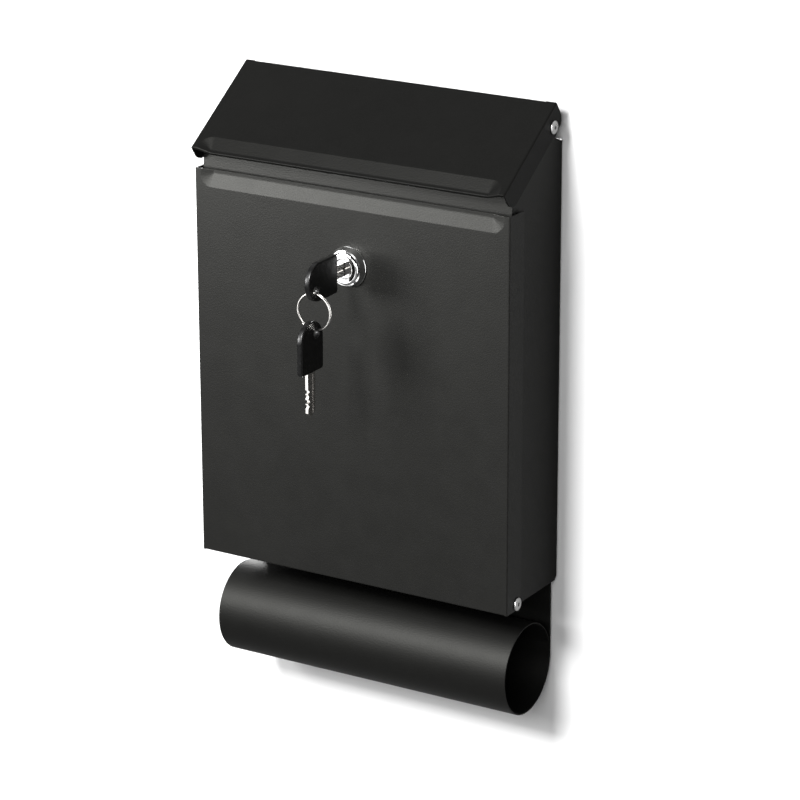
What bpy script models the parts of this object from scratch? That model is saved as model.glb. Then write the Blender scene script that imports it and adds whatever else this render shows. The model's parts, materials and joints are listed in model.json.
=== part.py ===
"""Wall mounted mailbox with a sloping lid, a lockable drop-down door and a newspaper holder.

Metres, +Z up. X runs along the width, the wall is the plane y = 0 and the front faces -Y.
Heights are counted from the door's bottom edge; the parent empty puts the origin at the
middle of the back panel's wall face.
"""

import math

import bmesh
import bpy
from mathutils import Matrix, Vector

# Overall sizes
BODY_WIDTH = 0.2106
BODY_DEPTH = 0.0580  # side panels, from the wall to their front edge
DOOR_HEIGHT = 0.2430
LID_SLOPE = math.radians(34.2)

# Sheet steel
SHEET = 0.0009
GAP = 0.0003  # between pieces that touch
CUT_SPARE = 0.002  # how far a cutter runs past what it cuts

# Front fascia
FASCIA_TOP = DOOR_HEIGHT + 0.0130
FASCIA_BOTTOM = DOOR_HEIGHT - 0.0210
FASCIA_LIP = 0.0050
FASCIA_HEM = 0.0030
FASCIA_TAB = 0.0120

# Lid
LID_GAP = 0.0004  # each side, between lid flange and body side
LID_TOP_Y = -0.0104
LID_CLEARANCE = 0.00955  # above the fascia's top, over the sides' front edges
LID_OVERHANG = 0.0126  # front edge, past the sides' front edges
LID_TOP_Z = FASCIA_TOP + LID_CLEARANCE + (BODY_DEPTH + LID_TOP_Y) * math.tan(LID_SLOPE)
LID_LENGTH = (BODY_DEPTH + LID_OVERHANG + LID_TOP_Y) / math.cos(LID_SLOPE)
LID_BAND = 0.0100
LID_BAND_DROP = 0.0012
LID_EDGE = 0.0018  # turned-down front edge
LID_FLANGE = 0.0147
LID_REAR_RADIUS = 0.0060
LID_FRONT_RADIUS = 0.0080
LID_LIP = 0.0060  # turned-down rear edge
LID_LIP_END = 0.0070  # where the rear lip stops, from each side
LID_PIVOT_ALONG = 0.0106
LID_PIVOT_BELOW = 0.0096
LID_REST_GAP = 0.00035

# Body
BODY_BOTTOM = 0.0012
BACK_HEIGHT = LID_TOP_Z - 0.0241  # top of the back panel at its corners
TONGUE_TOP = LID_TOP_Z - 0.0139  # raised middle of the back panel, behind the lid
TONGUE_SIDE = 0.0095  # how much narrower the tongue is at each side
REAR_CHAMFER = 0.0030
REAR_LEDGE = 0.0024  # flat top of a side panel, behind its ear
SCREW_HOLE_RADIUS = 0.0035
SCREW_HOLE_SPACING_X = 0.1500
SCREW_HOLE_HEIGHTS = (0.040, DOOR_HEIGHT - 0.003)

# Door
DOOR_GAP = 0.0013  # each side, between door flange and body side
DOOR_FACE_Y = -BODY_DEPTH - 0.0075
DOOR_FLANGE = 0.0167
DOOR_BAND = 0.0100
DOOR_BAND_LEAN = 0.0026
DOOR_BOTTOM_LIP = 0.0085
DOOR_CORNER_RADIUS = 0.0045
DOOR_PIVOT_Y = DOOR_FACE_Y + 0.0120
DOOR_PIVOT_Z = 0.0038

# Bottom panel
FLOOR_HEIGHT = 0.0081
FLOOR_LIP = 0.0080

# Newspaper holder
ROLL_RADIUS = 0.0284
ROLL_CENTRE_Z = -ROLL_RADIUS - 0.0193
ROLL_LENGTH = BODY_WIDTH - 0.0066
ROLL_FLANGE_TOP = 0.0260
ROLL_STEPS = 44

# Blind rivets
RIVET_SHANK = 0.0020
RIVET_HOLE = RIVET_SHANK + GAP
RIVET_BORE = RIVET_SHANK - 0.0009
RIVET_HEAD = RIVET_SHANK + 0.0020
RIVET_HEAD_HEIGHT = 0.0012
RIVET_HEAD_FLAT = 0.62  # of the head's radius
RIVET_HEAD_RIM = 0.35  # of the head's height
RIVET_TAIL = RIVET_SHANK + 0.0009
RIVET_TAIL_LENGTH = 0.0036
RIVET_TAIL_STRAIGHT = 0.6  # of the tail's length
RIVET_TAIL_WALL = 0.0004

# Keys
BLADE_WIDTH = 0.0080
BLADE_THICKNESS = 0.0018
BLADE_LENGTH = 0.0271
BLADE_OUT = 0.0085  # what stands out of the lock, up to the head
BLADE_TANG = 0.0110
TIP_SLOPE_LOWER = 0.0045  # where the tip starts to narrow, from its end
TIP_SLOPE_UPPER = 0.0030
TIP_NOSE = 0.0010
TIP_NOSE_SHARE = 0.35  # of the blade's half width
BIT_DEPTHS = (0.0012, 0.0018, 0.0009, 0.0015)
BIT_HALF = 0.0012
BIT_FIRST = 0.0070  # from the tip
HEAD_LENGTH = 0.0310
HEAD_WIDTH = 0.0236
HEAD_THICKNESS = BLADE_THICKNESS + 0.0018
HEAD_CORNER = 0.0020
HEAD_HOLE_RADIUS = 0.0029
HEAD_HOLE_FROM_END = 0.0080
HEAD_HOLE_OFFSET = 0.0050
RING_RADIUS = 0.0110
RING_RADIAL = 0.0010
RING_AXIAL = 0.0020
RING_EDGE = 0.00025
RING_SEAT = 0.0014  # the ring's wire, off the middle of the hole it hangs in

# Cam lock
LOCK_Z = DOOR_HEIGHT - 0.0450
PLUG_RADIUS = BLADE_WIDTH / 2 + 0.0018
PLUG_RECESS = 0.0003
PLUG_TAIL = 0.0060
BARREL_RADIUS = PLUG_RADIUS + 0.0035
BARREL_LENGTH = 0.0153
LOCK_HOLE = BARREL_RADIUS + 0.0004
BEZEL_BASE = BARREL_RADIUS + 0.0029
BEZEL_FACE = BARREL_RADIUS + 0.0006
BEZEL_RIM = 0.0010
BEZEL_ROUND = 0.0005
BEZEL_HEIGHT = 0.0062
LOCK_WASHER_RADIUS = BARREL_RADIUS + 0.0031
LOCK_WASHER_HEIGHT = 0.0007
NUT_ACROSS_FLATS = 2 * BARREL_RADIUS + 0.0044
NUT_HEIGHT = 0.0034
CAM_THICKNESS = 0.0018
CAM_WIDTH = 0.0140
CAM_REACH = FASCIA_BOTTOM - LOCK_Z + 0.0060
CAM_TIP_WIDTH = 0.0090
CAM_NECK = 0.55  # of the reach, where the arm has narrowed
CAM_WASHER_RADIUS = 0.0050
CAM_WASHER_HEIGHT = 0.0008
CAM_SCREW_SHANK = 0.0017
CAM_SCREW_DEPTH = 0.0036
CAM_SCREW_HEAD = 0.0036
CAM_SCREW_HEAD_HEIGHT = 0.0024
CAM_SCREW_CHAMFER = 0.0008
CROSS_WIDTH = 0.0009
CROSS_LENGTH = 0.0040
CROSS_DEPTH = 0.0013
WAFER_COUNT = 4
WAFER_WIDTH = BLADE_THICKNESS + 0.0038
WAFER_HEIGHT = BLADE_WIDTH + 0.0018
WAFER_THICKNESS = 0.0010
WAFER_FIRST = 0.0042  # behind the plug's face
WAFER_PITCH = 0.0030

# Worked out from the sizes above
HALF_BODY = BODY_WIDTH / 2
INSIDE = HALF_BODY - SHEET
LID_INNER = HALF_BODY + LID_GAP
LID_HALF = LID_INNER + SHEET
DOOR_INNER = HALF_BODY + DOOR_GAP
DOOR_HALF = DOOR_INNER + SHEET
FASCIA_BACK_Y = -BODY_DEPTH - GAP
FASCIA_FACE_Y = FASCIA_BACK_Y - SHEET
ROLL_BACK_Y = -SHEET - GAP
ROLL_CENTRE_Y = ROLL_BACK_Y - ROLL_RADIUS
LOCK_FACE_Y = DOOR_FACE_Y - GAP - BEZEL_HEIGHT
BARREL_BACK_Y = DOOR_FACE_Y - GAP + BARREL_LENGTH
PLUG_FACE_Y = LOCK_FACE_Y + PLUG_RECESS
CAM_FRONT_Y = BARREL_BACK_Y + GAP
CAM_BACK_Y = CAM_FRONT_Y + CAM_THICKNESS
HEAD_Y = LOCK_FACE_Y - BLADE_OUT
KEY_HOLE_Y = HEAD_Y - HEAD_LENGTH + HEAD_HOLE_FROM_END
KEY_HOLE_Z = LOCK_Z - HEAD_HOLE_OFFSET
RING_TOP_Z = KEY_HOLE_Z - RING_SEAT
RING_Z = RING_TOP_Z - RING_RADIUS
SPARE_HOLE_Z = RING_Z - RING_RADIUS - RING_SEAT
ORIGIN_HEIGHT = (BODY_BOTTOM + BACK_HEIGHT) / 2

PLANE_AXES = {"X": (1, 2, 0), "Y": (0, 2, 1), "Z": (0, 1, 2)}


def lid_point(along, below):
    """The (y, z) of a point given along the lid's slope and below its outer face."""
    y = LID_TOP_Y - along * math.cos(LID_SLOPE) + below * math.sin(LID_SLOPE)
    z = LID_TOP_Z - along * math.sin(LID_SLOPE) - below * math.cos(LID_SLOPE)
    return y, z


LID_PIVOT = lid_point(LID_PIVOT_ALONG, LID_PIVOT_BELOW)
DOOR_PIVOT = (DOOR_PIVOT_Y, DOOR_PIVOT_Z)


# Shape helpers


def clear_scene():
    for item in list(bpy.data.objects):
        bpy.data.objects.remove(item, do_unlink=True)


def finish_material(name, colour, roughness, metallic):
    material = bpy.data.materials.new(name)
    material.use_nodes = True
    shader = material.node_tree.nodes["Principled BSDF"]
    shader.inputs["Base Color"].default_value = (*colour, 1.0)
    shader.inputs["Roughness"].default_value = roughness
    shader.inputs["Metallic"].default_value = metallic
    return material


def empty_at(name, parent, location):
    """A parent for moving pieces, standing on their joint's axis."""
    holder = bpy.data.objects.new(name, None)
    bpy.context.scene.collection.objects.link(holder)
    holder.location = location
    if parent is not None:
        holder.parent = parent
        holder.location = Vector(location) - absolute(parent)
    return holder


def absolute(holder):
    """Where an empty stands, in the sizes' own coordinates; every holder is unturned."""
    place = Vector((0, 0, 0))
    while holder is not None and holder.parent is not None:
        place += holder.location
        holder = holder.parent
    return place


def object_from(name, bm):
    bmesh.ops.recalc_face_normals(bm, faces=bm.faces)
    mesh = bpy.data.meshes.new(name)
    bm.to_mesh(mesh)
    bm.free()
    item = bpy.data.objects.new(name, mesh)
    bpy.context.scene.collection.objects.link(item)
    return item


def place(item, holder, material):
    """Hangs a piece, modelled in the sizes' coordinates, on its holder."""
    item.data.transform(Matrix.Translation(-absolute(holder)))
    item.parent = holder
    item.data.materials.clear()
    item.data.materials.append(material)
    item.data.shade_smooth()
    item.data.set_sharp_from_angle(angle=math.radians(30))
    return item


def prism(name, outline, axis, low, high):
    """A closed outline in the plane across an axis, extruded from low to high along it."""
    first, second, along = PLANE_AXES[axis]
    bm = bmesh.new()
    corners = []
    for a, b in outline:
        point = [0.0, 0.0, 0.0]
        point[first], point[second], point[along] = a, b, low
        corners.append(bm.verts.new(point))
    face = bm.faces.new(corners)
    raised = bmesh.ops.extrude_face_region(bm, geom=[face])["geom"]
    shift = Vector((0, 0, 0))
    shift[along] = high - low
    moved = [item for item in raised if isinstance(item, bmesh.types.BMVert)]
    bmesh.ops.translate(bm, vec=shift, verts=moved)
    return object_from(name, bm)


def block(name, low, high):
    outline = [(low[0], low[1]), (high[0], low[1]), (high[0], high[1]), (low[0], high[1])]
    return prism(name, outline, "Z", low[2], high[2])


def rod(name, axis, centre, radius, low, high, sides=32):
    """A round bar along an axis; centre is its place in the plane across that axis."""
    return prism(name, arc(centre, radius, 0, 360, sides)[:-1], axis, low, high)


def turned(name, profile, sides=48):
    """A closed (radius, y) profile turned round the Y axis."""
    bm = bmesh.new()
    for radius, y in profile:
        bm.verts.new((radius, y, 0))
    bm.verts.ensure_lookup_table()
    count = len(profile)
    for index in range(count):
        bm.edges.new((bm.verts[index], bm.verts[(index + 1) % count]))
    bmesh.ops.spin(
        bm,
        geom=bm.verts[:] + bm.edges[:],
        cent=(0, 0, 0),
        axis=(0, 1, 0),
        angle=math.tau,
        steps=sides,
        use_duplicate=False,
    )
    bmesh.ops.remove_doubles(bm, verts=bm.verts, dist=1e-6)
    return object_from(name, bm)


def arc(centre, radius, start, end, steps):
    """Points from start to end, in degrees, counter-clockwise where end is larger."""
    points = []
    for index in range(steps + 1):
        angle = math.radians(start + (end - start) * index / steps)
        points.append((centre[0] + radius * math.cos(angle), centre[1] + radius * math.sin(angle)))
    return points


def thickened(path, thickness):
    """The closed outline of a sheet: the path, and the same path moved to its left."""
    sides = []
    for index, (a, b) in enumerate(path):
        before = Vector(path[max(index - 1, 0)])
        here = Vector((a, b))
        after = Vector(path[min(index + 1, len(path) - 1)])
        normals = []
        for start, end in ((before, here), (here, after)):
            if (end - start).length > 0:
                run = (end - start).normalized()
                normals.append(Vector((-run.y, run.x)))
        mitre = sum(normals, Vector((0, 0))).normalized()
        reach = thickness / mitre.dot(normals[0])
        sides.append(tuple(here + mitre * reach))
    return list(path) + sides[::-1]


def combine(item, other, operation):
    """Cuts, joins or intersects with another object, then removes it."""
    modifier = item.modifiers.new(operation.title(), "BOOLEAN")
    modifier.operation = operation
    modifier.solver = "EXACT"
    modifier.object = other
    graph = bpy.context.evaluated_depsgraph_get()
    mesh = bpy.data.meshes.new_from_object(item.evaluated_get(graph))
    item.modifiers.clear()
    item.data = mesh
    bpy.data.objects.remove(other, do_unlink=True)
    return item


def cut(item, *cutters):
    for cutter in cutters:
        combine(item, cutter, "DIFFERENCE")
    return item


def join(item, *others):
    for other in others:
        combine(item, other, "UNION")
    return item


# Body


def side_outline():
    """A side panel in (y, z), with an ear round the lid's pivot and the tongue's full height."""
    below = SHEET + LID_REST_GAP
    ear = LID_PIVOT_BELOW - below
    slope = math.degrees(LID_SLOPE)
    front_along = (BODY_DEPTH + LID_TOP_Y + below * math.sin(LID_SLOPE)) / math.cos(LID_SLOPE)
    tongue_y = -(SHEET + REAR_LEDGE) / 2
    outline = [(0, BODY_BOTTOM + REAR_CHAMFER), (0, TONGUE_TOP), (tongue_y, TONGUE_TOP)]
    outline += [(tongue_y, BACK_HEIGHT), (-REAR_LEDGE, BACK_HEIGHT)]
    outline += arc(LID_PIVOT, ear, -60, 90 + slope, 14)
    outline.append(lid_point(front_along, below))
    outline += [(-BODY_DEPTH, BODY_BOTTOM), (-REAR_CHAMFER, BODY_BOTTOM)]
    return outline


def body_shell(holder, paint):
    """Back panel and two side panels, folded from one sheet."""
    shell = prism("body_shell", side_outline(), "X", -HALF_BODY, HALF_BODY)
    front, below, above = -BODY_DEPTH - CUT_SPARE, -CUT_SPARE, LID_TOP_Z
    back_bottom = BODY_BOTTOM + REAR_CHAMFER
    hollow = [(front, below), (CUT_SPARE, below), (CUT_SPARE, back_bottom)]
    hollow += [(-SHEET, back_bottom), (-SHEET, above), (front, above)]
    cut(shell, prism("hollow", hollow, "X", -INSIDE, INSIDE))
    reach = HALF_BODY + CUT_SPARE
    for side in (-1, 1):
        edges = sorted((side * (HALF_BODY - TONGUE_SIDE), side * reach))
        low = (edges[0], -REAR_LEDGE, BACK_HEIGHT)
        cut(shell, block("corner", low, (edges[1], CUT_SPARE, above)))
    for x in (-SCREW_HOLE_SPACING_X / 2, SCREW_HOLE_SPACING_X / 2):
        for z in SCREW_HOLE_HEIGHTS:
            radius, front = SCREW_HOLE_RADIUS, -SHEET - CUT_SPARE
            cut(shell, rod("hole", "Y", (x, z), radius, front, CUT_SPARE, 20))
    for pivot in (LID_PIVOT, DOOR_PIVOT):
        cut(shell, rod("hole", "X", pivot, RIVET_HOLE, -reach, reach, 24))
    return place(shell, holder, paint)


def bottom_panel(holder, paint):
    """Floor with skirts turned down at front and rear and lips turned up at the sides."""
    half = INSIDE - GAP
    front = -BODY_DEPTH
    rear = ROLL_BACK_Y - SHEET - GAP
    path = [(rear, BODY_BOTTOM), (rear, FLOOR_HEIGHT), (front, FLOOR_HEIGHT), (front, BODY_BOTTOM)]
    floor = prism("bottom_panel", thickened(path, SHEET), "X", -half, half)
    lip_front = DOOR_PIVOT_Y + RIVET_TAIL + GAP
    top = FLOOR_HEIGHT + FLOOR_LIP
    for side in (-1, 1):
        inner, outer = sorted((side * (half - SHEET), side * half))
        low = FLOOR_HEIGHT - SHEET
        join(floor, block("lip", (inner, lip_front, low), (outer, rear, top)))
    return place(floor, holder, paint)


def front_fascia(holder, paint):
    """Strip between lid and door; the lock's cam catches behind its lower lip."""
    face, back = FASCIA_FACE_Y, FASCIA_BACK_Y
    path = [
        (back + FASCIA_HEM, FASCIA_TOP),
        (face, FASCIA_TOP),
        (face, FASCIA_BOTTOM),
        (back + FASCIA_LIP, FASCIA_BOTTOM),
    ]
    inner = INSIDE - GAP
    strip = prism("front_fascia", thickened(path, SHEET), "X", -inner, inner)
    for side in (-1, 1):
        edges = sorted((side * (inner - SHEET), side * HALF_BODY))
        join(strip, block("end", (edges[0], face, FASCIA_BOTTOM), (edges[1], back, FASCIA_TOP)))
        edges = sorted((side * (inner - SHEET), side * inner))
        low = (edges[0], face + SHEET / 2, FASCIA_BOTTOM)
        join(strip, block("tab", low, (edges[1], back + FASCIA_TAB, FASCIA_TOP)))
    return place(strip, holder, paint)


def newspaper_tube(holder, paint):
    """One sheet: a flange up inside the body's rear, then rolled into an open tube."""
    seam_y = ROLL_BACK_Y - SHEET - GAP
    seam = math.degrees(math.acos((seam_y - ROLL_CENTRE_Y) / ROLL_RADIUS))
    centre = (ROLL_CENTRE_Y, ROLL_CENTRE_Z)
    path = [(ROLL_BACK_Y, ROLL_FLANGE_TOP)]
    path += arc(centre, ROLL_RADIUS, 0, seam - 360, ROLL_STEPS)
    outline = thickened(path, -SHEET)
    tube = prism("newspaper_tube", outline, "X", -ROLL_LENGTH / 2, ROLL_LENGTH / 2)
    return place(tube, holder, paint)


# Lid


def lid_panel(holder, paint):
    """Sloping panel with side flanges, a front band and a rear lip."""
    front = LID_BAND_DROP + LID_EDGE
    stations = [(0, 0), (LID_LENGTH - LID_BAND, 0), (LID_LENGTH, LID_BAND_DROP), (LID_LENGTH, front)]
    path = [lid_point(*station) for station in stations]
    panel = prism("lid_panel", thickened(path, SHEET), "X", -LID_HALF, LID_HALF)
    lip_half = LID_HALF - LID_LIP_END
    lip = [(0, SHEET / 2), (SHEET, SHEET / 2), (SHEET, LID_LIP), (0, LID_LIP)]
    join(panel, prism("lip", [lid_point(*corner) for corner in lip], "X", -lip_half, lip_half))
    flange = [(0, SHEET / 3), (0, LID_FLANGE - LID_REAR_RADIUS)]
    flange += arc((LID_REAR_RADIUS, LID_FLANGE - LID_REAR_RADIUS), LID_REAR_RADIUS, 180, 90, 7)[1:]
    corner = (LID_LENGTH - LID_FRONT_RADIUS, LID_FLANGE - LID_FRONT_RADIUS)
    flange += arc(corner, LID_FRONT_RADIUS, 90, 0, 7)
    flange += [(LID_LENGTH, front), (LID_LENGTH, LID_BAND_DROP + SHEET / 3)]
    flange.append((LID_LENGTH - LID_BAND, SHEET / 3))
    outline = [lid_point(*corner) for corner in flange]
    for side in (-1, 1):
        edges = sorted((side * LID_INNER, side * LID_HALF))
        join(panel, prism("flange", outline, "X", *edges))
    reach = LID_HALF + CUT_SPARE
    cut(panel, rod("hole", "X", LID_PIVOT, RIVET_HOLE, -reach, reach, 24))
    return place(panel, holder, paint)


# Door


def door_panel(holder, paint):
    """Front panel with side flanges, a bottom lip and a top band that leans back."""
    face = DOOR_FACE_Y
    band_start = DOOR_HEIGHT - DOOR_BAND
    top_y = face + DOOR_BAND_LEAN
    path = [(top_y, DOOR_HEIGHT), (face, band_start), (face, 0), (face + DOOR_BOTTOM_LIP, 0)]
    panel = prism("door_panel", thickened(path, SHEET), "X", -DOOR_HALF, DOOR_HALF)
    rear = face + DOOR_FLANGE
    corner = (rear - DOOR_CORNER_RADIUS, DOOR_CORNER_RADIUS)
    flange = [(face + SHEET / 3, band_start), (face + SHEET / 3, 0)]
    flange += arc(corner, DOOR_CORNER_RADIUS, -90, 0, 6)
    flange += [(rear, DOOR_HEIGHT), (top_y + SHEET / 3, DOOR_HEIGHT)]
    for side in (-1, 1):
        edges = sorted((side * DOOR_INNER, side * DOOR_HALF))
        join(panel, prism("flange", flange, "X", *edges))
    back = face + SHEET + CUT_SPARE
    cut(panel, rod("hole", "Y", (0, LOCK_Z), LOCK_HOLE, face - CUT_SPARE, back, 48))
    reach = DOOR_HALF + CUT_SPARE
    cut(panel, rod("hole", "X", DOOR_PIVOT, RIVET_HOLE, -reach, reach, 24))
    return place(panel, holder, paint)


# Rivets


def blind_rivet(name, holder, metal, pivot, outer, side):
    """A tubular rivet: domed head outside the flange, shank, and tail inside the body."""
    head_back = outer + GAP
    head_front = head_back + RIVET_HEAD_HEIGHT
    tail_front = INSIDE - GAP
    tail_back = tail_front - RIVET_TAIL_LENGTH
    profile = [
        (RIVET_BORE, head_front),
        (RIVET_HEAD * RIVET_HEAD_FLAT, head_front),
        (RIVET_HEAD, head_back + RIVET_HEAD_HEIGHT * RIVET_HEAD_RIM),
        (RIVET_HEAD, head_back),
        (RIVET_SHANK, head_back),
        (RIVET_SHANK, tail_front),
        (RIVET_TAIL, tail_front),
        (RIVET_TAIL, tail_front - RIVET_TAIL_LENGTH * RIVET_TAIL_STRAIGHT),
        (RIVET_BORE + RIVET_TAIL_WALL, tail_back),
        (RIVET_BORE, tail_back),
    ]
    rivet = turned(name, profile, 24)
    turn = Matrix.Rotation(math.radians(-90 * side), 4, "Z")
    rivet.data.transform(Matrix.Translation((0, pivot[0], pivot[1])) @ turn)
    return place(rivet, holder, metal)


# Lock


def on_lock_axis(item, holder, metal):
    """Lifts a piece that is modelled round y to the lock's axis and hangs it on its holder."""
    item.data.transform(Matrix.Translation((0, 0, LOCK_Z)))
    return place(item, holder, metal)


def lock_housing(holder, metal):
    """Bezel in front of the door and a round barrel through it, bored for the plug."""
    bore = PLUG_RADIUS + GAP
    seat = DOOR_FACE_Y - GAP
    profile = [
        (bore, LOCK_FACE_Y),
        (BEZEL_FACE - BEZEL_ROUND, LOCK_FACE_Y),
        (BEZEL_FACE, LOCK_FACE_Y + BEZEL_ROUND),
        (BEZEL_BASE, seat - BEZEL_RIM),
        (BEZEL_BASE, seat),
        (BARREL_RADIUS, seat),
        (BARREL_RADIUS, BARREL_BACK_Y),
        (bore, BARREL_BACK_Y),
    ]
    housing = turned("lock_housing", profile)
    return on_lock_axis(housing, holder, metal)


def lock_washer(holder, metal):
    front = DOOR_FACE_Y + SHEET + GAP
    back = front + LOCK_WASHER_HEIGHT
    inner = BARREL_RADIUS + GAP
    profile = [(inner, front), (LOCK_WASHER_RADIUS, front), (LOCK_WASHER_RADIUS, back), (inner, back)]
    washer = turned("lock_washer", profile)
    return on_lock_axis(washer, holder, metal)


def lock_nut(holder, metal):
    front = DOOR_FACE_Y + SHEET + LOCK_WASHER_HEIGHT + 2 * GAP
    corner = NUT_ACROSS_FLATS / math.sqrt(3)
    nut = rod("lock_nut", "Y", (0, 0), corner, front, front + NUT_HEIGHT, 6)
    inner = BARREL_RADIUS + GAP
    back = front + NUT_HEIGHT
    cut(nut, rod("bore", "Y", (0, 0), inner, front - CUT_SPARE, back + CUT_SPARE, 48))
    return on_lock_axis(nut, holder, metal)


def slot_block(name, width, height, front, back):
    return block(name, (-width / 2, front, -height / 2), (width / 2, back, height / 2))


def wafer_front(index):
    return PLUG_FACE_Y + WAFER_FIRST + index * WAFER_PITCH


def lock_plug(holder, metal):
    """The part that the key turns: keyway, wafer slots and a square tail for the cam."""
    plug = rod("lock_plug", "Y", (0, 0), PLUG_RADIUS, PLUG_FACE_Y, BARREL_BACK_Y, 48)
    tail_end = CAM_BACK_Y - GAP
    join(plug, slot_block("tail", PLUG_TAIL, PLUG_TAIL, BARREL_BACK_Y - 2 * GAP, tail_end))
    width = BLADE_THICKNESS + 2 * GAP
    height = BLADE_WIDTH + 2 * GAP
    keyway_end = HEAD_Y + BLADE_LENGTH + GAP
    cut(plug, slot_block("keyway", width, height, PLUG_FACE_Y - CUT_SPARE, keyway_end))
    slot_width = WAFER_WIDTH + 2 * GAP
    slot_height = 2 * (PLUG_RADIUS + CUT_SPARE)
    for index in range(WAFER_COUNT):
        front = wafer_front(index) - GAP
        back = front + WAFER_THICKNESS + 2 * GAP
        cut(plug, slot_block("slot", slot_width, slot_height, front, back))
    hole = CAM_SCREW_SHANK + GAP
    depth = tail_end - CAM_SCREW_DEPTH
    cut(plug, rod("hole", "Y", (0, 0), hole, depth, tail_end + CUT_SPARE, 20))
    return on_lock_axis(plug, holder, metal)


def lock_wafer(index, holder, metal):
    """A thin plate with a window that the blade passes through."""
    front = wafer_front(index)
    back = front + WAFER_THICKNESS
    wafer = slot_block(f"lock_wafer_{index + 1}", WAFER_WIDTH, WAFER_HEIGHT, front, back)
    width = BLADE_THICKNESS + 2 * GAP
    height = BLADE_WIDTH + 2 * GAP
    cut(wafer, slot_block("window", width, height, front - CUT_SPARE, back + CUT_SPARE))
    return on_lock_axis(wafer, holder, metal)


def lock_cam(holder, metal):
    """Flat arm on the plug's square tail; it points to the left while the door is unlocked."""
    half, tip = CAM_WIDTH / 2, CAM_TIP_WIDTH / 2
    outline = arc((0, 0), half, -90, 90, 12)
    outline += [(-half, half), (-CAM_REACH * CAM_NECK, tip)]
    outline += arc((-CAM_REACH + tip, 0), tip, 90, 270, 8)
    outline += [(-CAM_REACH * CAM_NECK, -tip), (-half, -half)]
    cam = prism("lock_cam", outline, "Y", CAM_FRONT_Y, CAM_BACK_Y)
    square = PLUG_TAIL + 2 * GAP
    cut(cam, slot_block("square", square, square, CAM_FRONT_Y - CUT_SPARE, CAM_BACK_Y + CUT_SPARE))
    return on_lock_axis(cam, holder, metal)


def cam_washer(holder, metal):
    front = CAM_BACK_Y + GAP
    back = front + CAM_WASHER_HEIGHT
    inner = CAM_SCREW_SHANK + GAP
    profile = [(inner, front), (CAM_WASHER_RADIUS, front), (CAM_WASHER_RADIUS, back), (inner, back)]
    washer = turned("cam_washer", profile, 32)
    return on_lock_axis(washer, holder, metal)


def cam_screw(holder, metal):
    """Cross-head screw up the plug's tail."""
    head_front = CAM_BACK_Y + CAM_WASHER_HEIGHT + 2 * GAP
    head_back = head_front + CAM_SCREW_HEAD_HEIGHT
    tip = CAM_BACK_Y - CAM_SCREW_DEPTH + GAP
    profile = [
        (0, tip),
        (CAM_SCREW_SHANK, tip),
        (CAM_SCREW_SHANK, head_front),
        (CAM_SCREW_HEAD, head_front),
        (CAM_SCREW_HEAD, head_back - CAM_SCREW_CHAMFER),
        (CAM_SCREW_HEAD - CAM_SCREW_CHAMFER, head_back),
        (0, head_back),
    ]
    screw = turned("cam_screw", profile[::-1], 24)
    depth = head_back - CROSS_DEPTH
    for width, height in ((CROSS_WIDTH, CROSS_LENGTH), (CROSS_LENGTH, CROSS_WIDTH)):
        cut(screw, slot_block("cross", width, height, depth, head_back + CUT_SPARE))
    return on_lock_axis(screw, holder, metal)


# Keys


def key_turn(spare):
    """Turns a key from the lock's direction to hanging: blade down, bitting to the front."""
    if not spare:
        return Matrix.Identity(4)
    return Matrix.Rotation(math.radians(-90), 4, "X") @ Matrix.Rotation(math.pi, 4, "Y")


def key_place(spare):
    """Puts a key, modelled round its shoulder with the blade along +Y, where it belongs."""
    hole = Vector((0, HEAD_HOLE_FROM_END - HEAD_LENGTH, -HEAD_HOLE_OFFSET))
    target = Vector((0, KEY_HOLE_Y, SPARE_HOLE_Z if spare else KEY_HOLE_Z))
    turn = key_turn(spare)
    return Matrix.Translation(target - turn @ hole) @ turn


def key_blade(name, holder, metal, spare):
    """Flat blade with V cuts along its upper edge, a pointed tip and a tang in the head."""
    half = BLADE_WIDTH / 2
    tip = BLADE_LENGTH
    nose = half * TIP_NOSE_SHARE
    outline = [(-BLADE_TANG, -half), (tip - TIP_SLOPE_LOWER, -half), (tip - TIP_NOSE, -nose)]
    outline += [(tip, 0), (tip - TIP_NOSE, nose), (tip - TIP_SLOPE_UPPER, half)]
    for index, depth in enumerate(BIT_DEPTHS):
        y = tip - BIT_FIRST - index * WAFER_PITCH
        outline += [(y + BIT_HALF, half), (y + BIT_HALF / 3, half - depth)]
        outline += [(y - BIT_HALF / 3, half - depth), (y - BIT_HALF, half)]
    outline.append((-BLADE_TANG, half))
    blade = prism(name, outline, "X", -BLADE_THICKNESS / 2, BLADE_THICKNESS / 2)
    blade.data.transform(key_place(spare))
    return place(blade, holder, metal)


def key_head(name, holder, plastic, spare):
    """Plastic head with a square shoulder, a round outer end and a hole for the ring."""
    half = HEAD_WIDTH / 2
    end_centre = (half - HEAD_LENGTH, 0)
    outline = arc((-HEAD_CORNER, half - HEAD_CORNER), HEAD_CORNER, 0, 90, 3)
    outline += arc(end_centre, half, 90, 270, 22)
    outline += arc((-HEAD_CORNER, HEAD_CORNER - half), HEAD_CORNER, 270, 360, 3)
    thick = HEAD_THICKNESS / 2
    head = prism(name, outline, "X", -thick, thick)
    hole = (HEAD_HOLE_FROM_END - HEAD_LENGTH, -HEAD_HOLE_OFFSET)
    cut(head, rod("hole", "X", hole, HEAD_HOLE_RADIUS, -thick - CUT_SPARE, thick + CUT_SPARE, 24))
    wide = BLADE_THICKNESS / 2 + GAP
    high = BLADE_WIDTH / 2 + GAP
    cut(head, block("pocket", (-wide, -BLADE_TANG - GAP, -high), (wide, CUT_SPARE, high)))
    head.data.transform(key_place(spare))
    return place(head, holder, plastic)


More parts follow.
